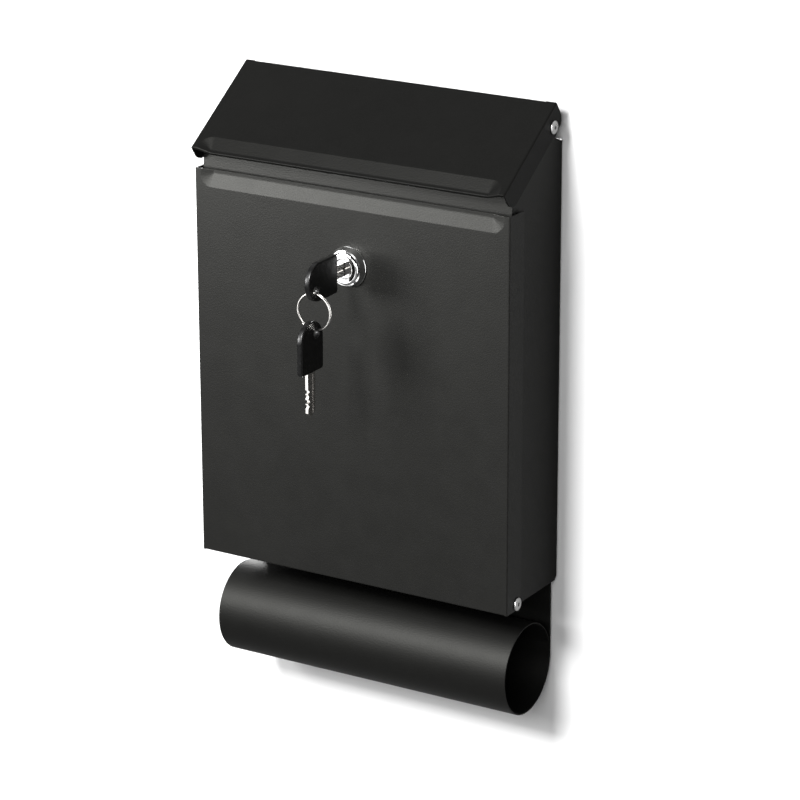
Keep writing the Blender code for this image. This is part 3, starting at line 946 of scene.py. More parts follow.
LID_FRAME = Matrix.Translation(LID_TOP) @ Matrix.Rotation(LID_SLOPE, 4, "X")
DOOR_FRAME = Matrix.Translation((0, DOOR_FACE_Y, 0)) @ Matrix.Rotation(math.pi / 2, 4, "X")


def move_by(item: Item, matrix: Matrix) -> None:
    """Moves a piece by a matrix and settles it there."""
    item.matrix_world = matrix @ item.matrix_world
    settle(item)


def near(value: float, target: float, reach: float = 2e-5) -> bool:
    """Whether two lengths agree."""
    return abs(value - target) < reach


# ---------------------------------------------------------------- body


@dataclass
class BodyShell:
    """Back panel and two side panels, folded from one sheet."""

    bottom: float = 0.0012
    back_height: float = 0.2738
    tongue_top: float = 0.2840
    tongue_half: float = 0.0958
    chamfer: float = 0.0030
    ledge: float = 0.0024
    ear_radius: float = 0.00835
    lid_clearance: float = 0.00125
    fold: float = 0.0013
    screw_radius: float = 0.0035
    screw_x: float = 0.0750
    screw_heights: tuple[float, float] = (0.040, 0.240)

    def profile(self) -> list[Point2]:
        """The side panels' outline in (y, z), with the tongue's height at the rear.

        Returns:
            The outline's points in order.
        """
        sine, cosine = math.sin(LID_SLOPE), math.cos(LID_SLOPE)
        below = self.lid_clearance
        along = (BODY_DEPTH + LID_TOP.y + below * sine) / cosine
        front_top = LID_TOP.z - along * sine - below * cosine
        low = self.bottom + self.chamfer
        points = [(SPARE, low + SPARE), (SPARE, self.tongue_top), (-self.ledge, self.tongue_top)]
        points.append((-self.ledge, self.back_height))
        points += arc(LID_PIVOT, self.ear_radius, -60, 90 + math.degrees(LID_SLOPE), 28)
        points += [(-BODY_DEPTH, front_top), (-BODY_DEPTH, self.bottom)]
        points.append((-self.chamfer, self.bottom))
        return points

    def build(self) -> Item:
        """Models the shell.

        Returns:
            The shell.
        """
        low, high = self.bottom - SPARE, LID_TOP.z
        shell = skin("body_shell_sheet", 2 * BODY_HALF, high - low, Vector((0, 0, 0)))
        middle = Matrix.Translation((0, 0, (low + high) / 2))
        move_by(shell, middle @ Matrix.Rotation(-math.pi / 2, 4, "X"))
        with editing(shell):
            pick_border(shell, lambda spot: near(spot.x, BODY_HALF))
            pull(y=-BODY_DEPTH - SPARE)
            pick_border(shell, lambda spot: near(spot.x, -BODY_HALF))
            pull(y=-BODY_DEPTH - SPARE)
        fold_at(shell, lambda spot: near(abs(spot.x), BODY_HALF) and near(spot.y, 0.0), self.fold)
        clean(shell)
        give_thickness(shell)
        side = plate("side_profile", [self.profile()], 2 * BODY_HALF + SPARE)
        put(side, Axis.RIGHT, Vector((0, 0, 0)))
        shape_with(shell, Cut.KEEP, side)
        for sign in (-1, 1):
            ends = sorted((sign * self.tongue_half, sign * (BODY_HALF + SPARE)))
            low_corner = (ends[0], -self.ledge, self.back_height)
            shape_with(shell, Cut.TAKE, block(low_corner, (ends[1], SPARE, high)))
            for height in self.screw_heights:
                spot = Vector((sign * self.screw_x, 0, height))
                shape_with(shell, Cut.TAKE, bar(Axis.BACK, spot, self.screw_radius, SPARE))
        for pivot in (LID_PIVOT, DOOR_PIVOT):
            hole = bar(Axis.RIGHT, Vector((0, *pivot)), RIVET_HOLE, 2 * BODY_HALF + SPARE)
            shape_with(shell, Cut.TAKE, hole)
        soften(shell)
        smooth(shell)
        return hand_over(shell, BODY_PAINT, "root", "body_shell")


@dataclass
class Fascia:
    """The strip between lid and door, with a hem, a lip and welded end tabs."""

    bottom: float = 0.2220
    top: float = 0.2560
    face_y: float = -0.0592
    hem: float = 0.0039
    lip: float = 0.0059
    tab: float = 0.0120
    inner_half: float = 0.1041
    fold: float = 0.0008
    lean: float = 4.5
    lean_z: float = 0.2480

    def build(self) -> Item:
        """Models the fascia, its top leaning back a little.

        Returns:
            The fascia.
        """
        middle = (self.bottom + self.top) / 2
        strip = skin("front_fascia_sheet", 2 * BODY_HALF, self.top - self.bottom, Vector((0, 0, 0)))
        place = Matrix.Translation((0, self.face_y, middle)) @ Matrix.Rotation(math.pi / 2, 4, "X")
        move_by(strip, place)
        slice_at(strip, 0, (-self.inner_half, self.inner_half))
        reach = self.inner_half + TINY

        def on_edge(spot: Vector, height: float) -> bool:
            """Whether a place lies on the face's edge at a height, between the tabs."""
            return near(spot.z, height) and near(spot.y, self.face_y) and abs(spot.x) < reach

        for height, depth in ((self.top, self.hem), (self.bottom, self.lip)):
            with editing(strip):
                pick_border(strip, lambda spot: on_edge(spot, height))
                pull(y=depth)
        for height in (self.top, self.bottom):
            fold_at(strip, lambda spot: on_edge(spot, height), self.fold)
        clean(strip)
        give_thickness(strip)
        back = self.face_y + SHEET
        for sign in (-1, 1):
            ends = sorted((sign * (self.inner_half - SHEET), sign * self.inner_half))
            low = (ends[0], back - SHEET / 2, self.bottom + 0.0010)
            high = (ends[1], back + self.tab, self.top - 0.0010)
            shape_with(strip, Cut.JOIN, block(low, high))
        soften(strip)
        pivot = Matrix.Translation((0, self.face_y, self.lean_z))
        move_by(strip, pivot @ Matrix.Rotation(math.radians(-self.lean), 4, "X") @ pivot.inverted())
        smooth(strip)
        return hand_over(strip, BODY_PAINT, "root", "front_fascia")


@dataclass
class Floor:
    """The bottom panel: skirts turned down at front and rear, lips turned up at the sides."""

    height: float = 0.0081
    bottom: float = 0.0012
    rear_y: float = -0.0024
    half: float = 0.1041
    lip: float = 0.0080
    lip_front_y: float = -0.0503

    def build(self) -> Item:
        """Models the floor.

        Returns:
            The floor.
        """
        depth = BODY_DEPTH + self.rear_y
        middle = Vector((0, (self.rear_y - BODY_DEPTH) / 2, self.height))
        floor = skin("bottom_panel_sheet", 2 * self.half, depth, middle)
        for edge_y in (self.rear_y, -BODY_DEPTH):
            with editing(floor):
                pick_border(floor, lambda spot: near(spot.y, edge_y))
                pull(z=self.bottom - self.height)
        fold_at(
            floor,
            lambda spot: near(spot.z, self.height)
            and (near(spot.y, self.rear_y) or near(spot.y, -BODY_DEPTH)),
        )
        clean(floor)
        give_thickness(floor)
        for sign in (-1, 1):
            ends = sorted((sign * (self.half - SHEET), sign * self.half))
            low = (ends[0], self.lip_front_y, self.height - SHEET)
            high = (ends[1], self.rear_y - 0.0012, self.height + self.lip)
            shape_with(floor, Cut.JOIN, block(low, high))
        soften(floor)
        smooth(floor)
        return hand_over(floor, BODY_PAINT, "root", "bottom_panel")


@dataclass
class NewspaperTube:
    """One sheet: a flange inside the body's rear, rolled below it into an open tube."""

    radius: float = 0.0284
    back_y: float = -0.0012
    centre_z: float = -0.0477
    half: float = 0.1020
    flange_top: float = 0.0260
    seam: float = 16.6
    steps: int = 128

    def build(self) -> Item:
        """Models the tube.

        Returns:
            The tube.
        """
        height = self.flange_top - self.centre_z
        tube = skin("newspaper_tube_sheet", 2 * self.half, height, Vector((0, 0, 0)))
        middle = (0, self.back_y, self.centre_z + height / 2)
        move_by(tube, Matrix.Translation(middle) @ Matrix.Rotation(-math.pi / 2, 4, "X"))
        with editing(tube):
            pick_border(tube, lambda spot: near(spot.z, self.centre_z))
            bpy.ops.mesh.spin(
                steps=self.steps,
                angle=math.radians(360 - self.seam),
                center=(0, self.back_y - self.radius, self.centre_z),
                axis=(1, 0, 0),
            )
        clean(tube)
        give_thickness(tube)
        soften(tube, 0.0002)
        smooth(tube)
        return hand_over(tube, ROLL_COAT_PAINTED_SHADE, "root", "newspaper_tube")


# ---------------------------------------------------------------- lid and door


@dataclass
class PressedPanel:
    """A sheet panel in its own XY plane, its outer face up, with a pressed band at one end.

    The band leans inwards from a straight line across the panel, and its line turns round to
    the panel's end just before each side.
    """

    name: str
    half: float
    low: float
    high: float
    flange: float
    band: float
    band_drop: float
    band_is_high: bool
    band_side: float = 0.0038
    band_corner: float = 0.0085
    fold: float = 0.0010
    stations: float = 0.0005

    def band_line(self) -> float:
        """Where the band starts, along Y."""
        return self.high - self.band if self.band_is_high else self.low + self.band

    def depth_at(self, x: float, y: float) -> float:
        """How far the pressed band lies below the panel's face at a place.

        Args:
            x: Across the panel.
            y: Along the panel.

        Returns:
            The depth, zero off the band.
        """
        inside = y - self.band_line() if self.band_is_high else self.band_line() - y
        half = self.half - self.band_side
        return self.band_drop / self.band * rounded_inside(x, inside, half, self.band_corner)

    def face(self) -> Item:
        """The panel's face with the band pressed in.

        Returns:
            The face, one skin without flanges.
        """
        size = self.high - self.low
        panel = skin(self.name, 2 * self.half, size, Vector((0, (self.low + self.high) / 2, 0)))
        edge = self.half - self.band_side
        start = edge - self.band_corner
        ends = steps(start, edge, int(self.band_corner / self.stations))
        ends = [start, *ends, edge, self.half - 0.0019]
        slice_at(panel, 0, [sign * place for place in ends for sign in (-1, 1)])
        line = self.band_line()
        far = self.high if self.band_is_high else self.low
        slice_at(panel, 1, [line, *steps(line, far, int(self.band / self.stations))])
        for vert in panel.data.vertices:
            vert.co.z = -self.depth_at(vert.co.x, vert.co.y)
        return panel

    def on_face(self, spot: Vector) -> bool:
        """Whether a place lies on the panel's outer face."""
        return near(spot.z, -self.depth_at(spot.x, spot.y))

    def add_flanges(self, panel: Item) -> None:
        """Turns both side flanges down and rounds their folds.

        Args:
            panel: The panel.
        """
        for sign in (-1, 1):
            with editing(panel):
                pick_border(panel, lambda spot: near(spot.x, sign * self.half))
                pull(z=-self.flange - SPARE)
        fold_at(panel, lambda spot: near(abs(spot.x), self.half) and near(spot.z, 0.0), self.fold)

    def add_lip(self, panel: Item, edge_y: float, depth: float, reach: float, fold: float) -> None:
        """Turns a lip down from one end, kept away from the corners.

        Args:
            panel: The panel.
            edge_y: Which end.
            depth: How far the lip reaches down.
            reach: Half of its length.
            fold: The radius of its fold.
        """

        def on_edge(spot: Vector) -> bool:
            """Whether a place lies on that end, away from the corners."""
            return near(spot.y, edge_y) and abs(spot.x) < reach and self.on_face(spot)

        with editing(panel):
            pick_border(panel, on_edge)
            pull(z=-depth)
        fold_at(panel, on_edge, fold)

    def finish_sheet(self, panel: Item, profile: Sequence[Point2]) -> None:
        """Gives the skin its thickness and trims it to a side profile in (y, z).

        Args:
            panel: The folded skin.
            profile: What is kept, seen from the side.
        """
        clean(panel)
        give_thickness(panel)
        trim = plate("trim", [profile], 2 * self.half + SPARE)
        put(trim, Axis.RIGHT, Vector((0, 0, 0)))
        shape_with(panel, Cut.KEEP, trim)


@dataclass
class Lid(PressedPanel):
    """The sloping lid over the mail slot."""

    name: str = "lid_sheet"
    half: float = 0.1066
    low: float = -0.0728
    high: float = 0.0
    flange: float = 0.0147
    band: float = 0.0105
    band_drop: float = 0.0037
    band_is_high: bool = False
    rear_radius: float = 0.0060
    front_radius: float = 0.0080
    edge: float = 0.0018
    rear_lip: float = 0.0060
    lip_half: float = 0.0996

    def profile(self) -> list[Point2]:
        """What the flanges are trimmed to, seen from the side.

        Returns:
            The outline's points in order.
        """
        rear, front = self.rear_radius, self.front_radius
        points = [(self.low - SPARE, SPARE), (self.low - SPARE, front - self.flange)]
        points += arc((self.low + front, front - self.flange), front, 180, 270, 16)
        points += arc((self.high - rear, rear - self.flange), rear, 270, 360, 12)
        points += [(self.high + SPARE, rear - self.flange), (self.high + SPARE, SPARE)]
        return points

    def build(self) -> Item:
        """Models the lid.

        Returns:
            The lid.
        """
        lid = self.face()
        slice_at(lid, 0, (-self.lip_half, self.lip_half))
        self.add_flanges(lid)
        self.add_lip(lid, self.low, self.edge, self.half - 0.0018, 0.0005)
        self.add_lip(lid, self.high, self.rear_lip, self.lip_half + TINY, 0.0007)
        self.finish_sheet(lid, self.profile())
        move_by(lid, LID_FRAME)
        hole = bar(Axis.RIGHT, Vector((0, *LID_PIVOT)), RIVET_HOLE, 2 * self.half + SPARE)
        shape_with(lid, Cut.TAKE, hole)
        soften(lid, 0.00012)
        smooth(lid)
        return hand_over(lid, LID_COAT_PAINTED_SHADE, "lid", "lid_panel")


@dataclass
class Door(PressedPanel):
    """The drop-down door with its bottom lip and the lock's hole."""

    name: str = "door_sheet"
    half: float = 0.1075
    low: float = 0.0
    high: float = 0.2430
    flange: float = 0.0167
    band: float = 0.0108
    band_drop: float = 0.0028
    band_is_high: bool = True
    corner: float = 0.0045
    bottom_lip: float = 0.0085
    lock_hole: float = 0.0097

    def profile(self) -> list[Point2]:
        """What the flanges are trimmed to, seen from the side.

        Returns:
            The outline's points in order.
        """
        start = self.corner - self.flange
        points = [(self.high + SPARE, SPARE), (self.low - SPARE, SPARE), (self.low - SPARE, start)]
        points += arc((self.low + self.corner, start), self.corner, 180, 270, 12)
        points.append((self.high + SPARE, -self.flange))
        return points

    def build(self) -> Item:
        """Models the door.

        Returns:
            The door.
        """
        door = self.face()
        self.add_flanges(door)
        self.add_lip(door, self.low, self.bottom_lip, self.half - 0.0018, 0.0010)
        self.finish_sheet(door, self.profile())
        move_by(door, DOOR_FRAME)
        hole = bar(Axis.BACK, Vector((0, DOOR_FACE_Y, LOCK_Z)), self.lock_hole, 2 * SPARE, 96)
        shape_with(door, Cut.TAKE, hole)
        hole = bar(Axis.RIGHT, Vector((0, *DOOR_PIVOT)), RIVET_HOLE, 2 * self.half + SPARE)
        shape_with(door, Cut.TAKE, hole)
        soften(door, 0.00012)
        smooth(door)
        return hand_over(door, DOOR_COAT_PAINTED_LIGHT, "door", "door_panel")


# ---------------------------------------------------------------- rivets


@dataclass
class BlindRivet:
    """A tubular rivet with a domed head outside the flange and its tail inside the body."""

    node: str
    pivot: Point2
    outer: float
    right: bool
    head: float = 0.0040
    height: float = 0.0012
    shank: float = 0.0020
    tail: float = 0.0029
    tail_length: float = 0.0036
    bore: float = 0.0011
    gap: float = 0.0003

    def build(self) -> Item:
        """Models the rivet.

        Returns:
            The rivet.
        """
        back = self.outer + self.gap
        front = back + self.height
        inner = BODY_INSIDE - self.gap
        end = inner - self.tail_length
        stations = [(self.bore, end), (self.bore + 0.0004, end)]
        stations += [(self.tail - 0.0006, end + 0.0007), (self.tail, inner - 0.0012)]
        stations += [(self.tail, inner - 0.0003), (self.tail - 0.0003, inner)]
        stations += [(self.shank, inner), (self.shank, back), (self.head - 0.0001, back)]
        stations.append((self.head, back + 0.0001))
        rise = self.height - 0.0003
        for index in range(9):
            angle = math.radians(90 * index / 8)
            radius = self.bore + 0.0004 + (self.head - self.bore - 0.0004) * math.cos(angle)
            stations.append((radius, back + 0.0003 + rise * math.sin(angle)))
        stations += [(self.bore + 0.0001, front - 0.0001), (self.bore, front - 0.0004)]
        rivet = turned(f"{self.node}_turned", stations, 48, ring=True)
        put(rivet, Axis.RIGHT if self.right else Axis.LEFT, Vector((0, *self.pivot)))
        smooth(rivet, 40)
        return hand_over(rivet, RIVET_METAL, "root", self.node)


# ---------------------------------------------------------------- lock


@dataclass
class CamLock:
    """The lock: bezel and barrel, washer, nut, plug with its wafers, cam and screw."""

    base: float = 0.0122
    face: float = 0.0099
    height: float = 0.0062
    rim: float = 0.0010
    rounding: float = 0.0018
    barrel: float = 0.0093
    barrel_back_y: float = -0.0505
    bore: float = 0.0061
    plug: float = 0.0058
    recess: float = 0.0003
    washer: float = 0.0124
    nut_flats: float = 0.0230
    nut_height: float = 0.0034
    square: float = 0.0060
    first_wafer: float = 0.0042
    wafer_pitch: float = 0.0030
    keyway: Point2 = (0.0024, 0.0086)
    washer_height: float = 0.0007
    cam_back_y: float = -0.0484
    cam_thickness: float = 0.0018
    cam_half: float = 0.0070
    cam_reach: float = 0.0300
    cam_tip: float = 0.0045
    screw_head: float = 0.0036
    screw_shank: float = 0.0017
    wafers: int = 4
    gap: float = 0.0003

    def axis_at(self, y: float) -> Vector:
        """The place on the lock's axis at a depth."""
        return Vector((0, y, LOCK_Z))

    def slot(self, width: float, height: float, front: float, back: float) -> Item:
        """A box round the lock's axis."""
        low = (-width / 2, front, LOCK_Z - height / 2)
        return block(low, (width / 2, back, LOCK_Z + height / 2))

    def build_housing(self) -> Item:
        """Bezel and barrel, turned from one bar.

        Returns:
            The housing.
        """
        seat = self.height
        back = self.barrel_back_y - LOCK_FACE_Y
        slope = (self.base - self.face) / (self.height - self.rim)
        stations = [(self.bore, back), (self.barrel - 0.0004, back), (self.barrel, back - 0.0004)]
        stations += [(self.barrel, seat), (self.base - 0.0001, seat), (self.base, seat - 0.0001)]
        stations += [(self.base, seat - self.rim + 0.0002), (self.base - 0.0002, seat - self.rim)]
        turn_in = self.face + slope * self.rounding
        stations.append((turn_in, self.rounding))
        centre = (self.face - self.rounding, self.rounding)
        for radius, height in arc(centre, self.rounding, 0, 90, 10)[1:]:
            stations.append((radius, 2 * self.rounding - height))
        stations += [(self.bore + 0.0002, 0.0), (self.bore, 0.0002)]
        housing = turned("lock_housing_turned", stations, 96, ring=True)
        put(housing, Axis.BACK, self.axis_at(LOCK_FACE_Y))
        smooth(housing, 28)
        return hand_over(housing, CHROME, "door", "lock_housing")

    def build_washer(self, front_y: float) -> Item:
        """The flat washer behind the door.

        Args:
            front_y: Where its front face is.

        Returns:
            The washer.
        """
        inner = self.barrel + self.gap
        stations = [(inner, 0.0), (self.washer - 0.0001, 0.0), (self.washer, 0.0001)]
        top = self.washer_height
        stations += [(self.washer, top - 0.0001), (self.washer - 0.0001, top), (inner, top)]
        washer = turned("lock_washer_turned", stations, 72, ring=True)
        put(washer, Axis.BACK, self.axis_at(front_y))
        smooth(washer)
        return hand_over(washer, ZINC, "door", "lock_washer")

    def build_nut(self, front_y: float) -> Item:
        """The hexagon nut, its corners rounded off as they come from the bar.

        Args:
            front_y: Where its front face is.

        Returns:
            The nut.
        """
        corner = self.nut_flats / math.sqrt(3)
        middle = self.axis_at(front_y + self.nut_height / 2)
        nut = named(bar(Axis.BACK, middle, corner, self.nut_height, 6), "lock_nut_hexagon")
        flat = self.nut_flats / 2
        drop = 0.0007
        stations = [(flat - 0.0002, 0.0), (corner, drop), (corner, self.nut_height - drop)]
        stations.append((flat - 0.0002, self.nut_height))
        cone = turned("nut_corners", stations, 72)
        put(cone, Axis.BACK, self.axis_at(front_y))
        shape_with(nut, Cut.KEEP, cone)
        shape_with(nut, Cut.TAKE, bar(Axis.BACK, middle, self.barrel + self.gap, 2 * SPARE, 72))
        soften(nut, 0.00015)
        smooth(nut, 25)
        return hand_over(nut, ZINC, "door", "lock_nut")

    def build_plug(self) -> Item:
        """The turning core with its keyway, index mark, wafer slots and square tail.

        Returns:
            The plug.
        """
        face_y = LOCK_FACE_Y + self.recess
        length = self.barrel_back_y - face_y
        stations = [(self.plug - 0.0002, 0.0), (self.plug, 0.0002), (self.plug, length)]
        plug = turned("lock_plug_turned", stations, 72)
        put(plug, Axis.BACK, self.axis_at(face_y))
        tail_end = self.cam_back_y - self.gap
        tail = self.slot(self.square, self.square, self.barrel_back_y - 0.0006, tail_end)
        shape_with(plug, Cut.JOIN, tail)
        keyway = self.slot(*self.keyway, face_y - SPARE, KEY_SHOULDER_Y + 0.0274)
        dot = bar(Axis.BACK, Vector((0, face_y, LOCK_Z + 0.0050)), 0.00035, 0.0006, 16)
        shape_with(plug, Cut.TAKE, keyway, dot)
        for index in range(self.wafers):
            front = face_y + self.first_wafer + index * self.wafer_pitch - self.gap
            shape_with(plug, Cut.TAKE, self.slot(0.0062, 0.0156, front, front + 0.0016))
        hole = bar(Axis.BACK, self.axis_at(tail_end), self.screw_shank + self.gap, 0.0072, 24)
        shape_with(plug, Cut.TAKE, hole)
        smooth(plug, 28)
        return hand_over(plug, CHROME, "lock_core", "lock_plug")

    def build_wafer(self, index: int) -> Item:
        """One sheet-brass wafer, as it stands with the key in.

        Args:
            index: Which one, counted from the front.

        Returns:
            The wafer.
        """
        front = LOCK_FACE_Y + self.recess + self.first_wafer + index * self.wafer_pitch
        node = f"lock_wafer_{index + 1}"
        wafer = named(self.slot(0.0056, 0.0098, front, front + 0.0010), f"{node}_sheet")
        shape_with(wafer, Cut.TAKE, self.slot(*self.keyway, front - SPARE, front + SPARE))
        soften(wafer, 0.0001)
        smooth(wafer)
        return hand_over(wafer, BRASS, "lock_core", node)

    def build_cam(self) -> Item:
        """The flat arm that catches behind the fascia's lip.

        Returns:
            The cam.
        """
        half, tip, neck = self.cam_half, self.cam_tip, self.cam_reach * 0.55
        outline = arc((0, 0), half, -90, 90, 24)
        outline += [(-half, half), (-neck, tip)]
        outline += arc((tip - self.cam_reach, 0), tip, 90, 270, 16)
        outline += [(-neck, -tip), (-half, -half)]
        side = self.square / 2 + self.gap
        square = [(-side, -side), (side, -side), (side, side), (-side, side)]
        cam = plate("lock_cam_plate", [outline, square], self.cam_thickness, 0.00018)
        put(cam, Axis.FRONT, self.axis_at(self.cam_back_y - self.cam_thickness / 2))
        smooth(cam)
        return hand_over(cam, ZINC, "lock_core", "lock_cam")

    def build_screw(self) -> None:
        """The cam's washer and its cross-head screw."""
        washer_front = self.cam_back_y + self.gap
        inner, outer, height = self.screw_shank + self.gap, 0.0050, 0.0008
        stations = [(inner, 0.0), (outer - 0.0001, 0.0), (outer, 0.0001)]
        stations += [(outer, height - 0.0001), (outer - 0.0001, height), (inner, height)]
        washer = turned("cam_washer_turned", stations, 48, ring=True)
        put(washer, Axis.BACK, self.axis_at(washer_front))
        smooth(washer)
        hand_over(washer, ZINC, "lock_core", "cam_washer")
        tip_y = self.cam_back_y - 0.0033
        head_y = washer_front + height + self.gap
        run = head_y - tip_y
        stations = [(self.screw_shank - 0.0004, 0.0), (self.screw_shank, 0.0004)]
        stations += [(self.screw_shank, run), (self.screw_head - 0.0001, run)]
        stations += [(self.screw_head, run + 0.0001), (self.screw_head, run + 0.0012)]
        stations += [(0.0033, run + 0.0019), (0.0026, run + 0.0023), (0.0016, run + 0.0024)]
        screw = turned("cam_screw_turned", stations, 48)
        put(screw, Axis.BACK, self.axis_at(tip_y))
        top = head_y + 0.0024
        for size in ((0.0009, 0.0040), (0.0040, 0.0009)):
            shape_with(screw, Cut.TAKE, self.slot(*size, top - 0.0013, top + SPARE))
        smooth(screw)
        hand_over(screw, ZINC, "lock_core", "cam_screw")

    def build(self) -> None:
        """Models all of the lock."""
        behind_door = DOOR_FACE_Y + SHEET + self.gap
        self.build_housing()
        self.build_washer(behind_door)
        self.build_nut(behind_door + self.washer_height + self.gap)
        self.build_plug()
        for index in range(self.wafers):
            self.build_wafer(index)
        self.build_cam()
        self.build_screw()


# ---------------------------------------------------------------- keys


@dataclass
class Key:
    """A flat key with a plastic head, modelled round its shoulder with the blade along +Y."""

    blade_node: str
    head_node: str
    body: str
    spare: bool
    blade_half: float = 0.0040
    thickness: float = 0.0018
    length: float = 0.0271
    tang: float = 0.0110
    bits: tuple[float, ...] = (0.0012, 0.0018, 0.0009, 0.0015)
    bit_half: float = 0.0012
    bit_pitch: float = 0.0030
    head_length: float = 0.0310
    head_half: float = 0.0118
    head_thickness: float = 0.0036
    head_corner: float = 0.0020
    head_edge: float = 0.0009
    hole_radius: float = 0.0029
    hole: Point2 = (-0.0230, -0.0050)
    hole_y: float = -0.1035

    def place(self) -> Matrix:
        """Where the key belongs, from its own coordinates.

        Returns:
            The matrix that puts it there.
        """
        turn = Matrix.Identity(4)
        height = 0.1930
        if self.spare:
            turn = Matrix.Rotation(-math.pi / 2, 4, "X") @ Matrix.Rotation(math.pi, 4, "Y")
            height = 0.1682
        target = Vector((0, self.hole_y, height))
        return Matrix.Translation(target - turn @ Vector((0, *self.hole))) @ turn

    def blade_outline(self) -> list[Point2]:
        """The blade's outline in (y, z), bitted along its upper edge.

        Returns:
            The outline's points in order.
        """
        half, tip = self.blade_half, self.length
        points = [(-self.tang, -half), (tip - 0.0045, -half), (tip - 0.0010, -0.35 * half)]
        points += [(tip, 0), (tip - 0.0010, 0.35 * half), (tip - 0.0030, half)]
        for index, depth in enumerate(self.bits):
            y = tip - 0.0070 - index * self.bit_pitch
            points += [(y + self.bit_half, half), (y + self.bit_half / 3, half - depth)]
            points += [(y - self.bit_half / 3, half - depth), (y - self.bit_half, half)]
        points.append((-self.tang, half))
        return points

    def build_blade(self) -> Item:
        """The blade, with a milled groove down each side.

        Returns:
            The blade.
        """
        blade = plate(f"{self.blade_node}_plate", [self.blade_outline()], self.thickness, 0.0001)
        put(blade, Axis.RIGHT, Vector((0, 0, 0)))
        face = self.thickness / 2
        for side, middle in ((1, 0.0006), (-1, -0.0010)):
            ends = sorted((side * (face - 0.00045), side * (face + SPARE)))
            low = (ends[0], 0.0012, middle - 0.0008)
            shape_with(blade, Cut.TAKE, block(low, (ends[1], self.length + SPARE, middle + 0.0008)))
        move_by(blade, self.place())
        smooth(blade)
        return hand_over(blade, NICKEL, self.body, self.blade_node)

    def build_head(self) -> Item:
        """The moulded head: rounded edges, a hole for the ring and a pocket that takes the blade.

        Returns:
            The head.
        """
        half, corner = self.head_half, self.head_corner
        outline = arc((-corner, half - corner), corner, 0, 90, 8)
        outline += arc((half - self.head_length, 0), half, 90, 270, 48)
        outline += arc((-corner, corner - half), corner, 270, 360, 8)
        hole = arc(self.hole, self.hole_radius, 0, 360, 40)[:-1]
        name = f"{self.head_node}_plate"
        head = plate(name, [outline, hole], self.head_thickness, self.head_edge)
        put(head, Axis.RIGHT, Vector((0, 0, 0)))
        wide, high = self.thickness / 2 + 0.0003, self.blade_half + 0.0003
        pocket = block((-wide, -self.tang - 0.0003, -high), (wide, SPARE, high))
        shape_with(head, Cut.TAKE, pocket)
        move_by(head, self.place())
        smooth(head, 40)
        return hand_over(head, KEY_PLASTIC, self.body, self.head_node)

    def build(self) -> None:
        """Models the key."""
        self.build_blade()
        self.build_head()


@dataclass
class SplitRing:
    """Two turns of spring wire, side by side, with a step where they cross."""

    radius: float = 0.0110
    wire: float = 0.0005
    centre: tuple[float, float, float] = (0.0, -0.1035, 0.1806)
    step_degrees: float = 22.0
    ends_degrees: float = 26.0
    facing: float = 200.0

    def build(self) -> Item:
        """Models the ring.

        Returns:
            The ring.
        """
        curve = bpy.data.curves.new("key_ring_wire", "CURVE")
        curve.dimensions = "3D"
        curve.bevel_depth = self.wire
        curve.bevel_resolution = 6
        curve.use_fill_caps = True
        spline = curve.splines.new("POLY")
        count = 260
        spline.points.add(count)
        for index, point in enumerate(spline.points):
            turn = self.ends_degrees + (720 - 2 * self.ends_degrees) * index / count
            across = max(-1.0, min(1.0, (turn - 360) / self.step_degrees))
            shift = self.wire * math.sin(across * math.pi / 2)
            angle = math.radians(turn + self.facing)
            x, z = self.radius * math.cos(angle), self.radius * math.sin(angle)
            point.co = (self.centre[0] + x, self.centre[1] + shift, self.centre[2] + z, 1.0)
        ring = bpy.data.objects.new("key_ring_wire", curve)
        bpy.context.scene.collection.objects.link(ring)
        take(ring)
        bpy.ops.object.convert(target="MESH")
        ring = named(bpy.context.object, "key_ring_wire")
        clean(ring)
        smooth(ring, 50)
        return hand_over(ring, NICKEL, "ring", "key_ring")


# ---------------------------------------------------------------- studio


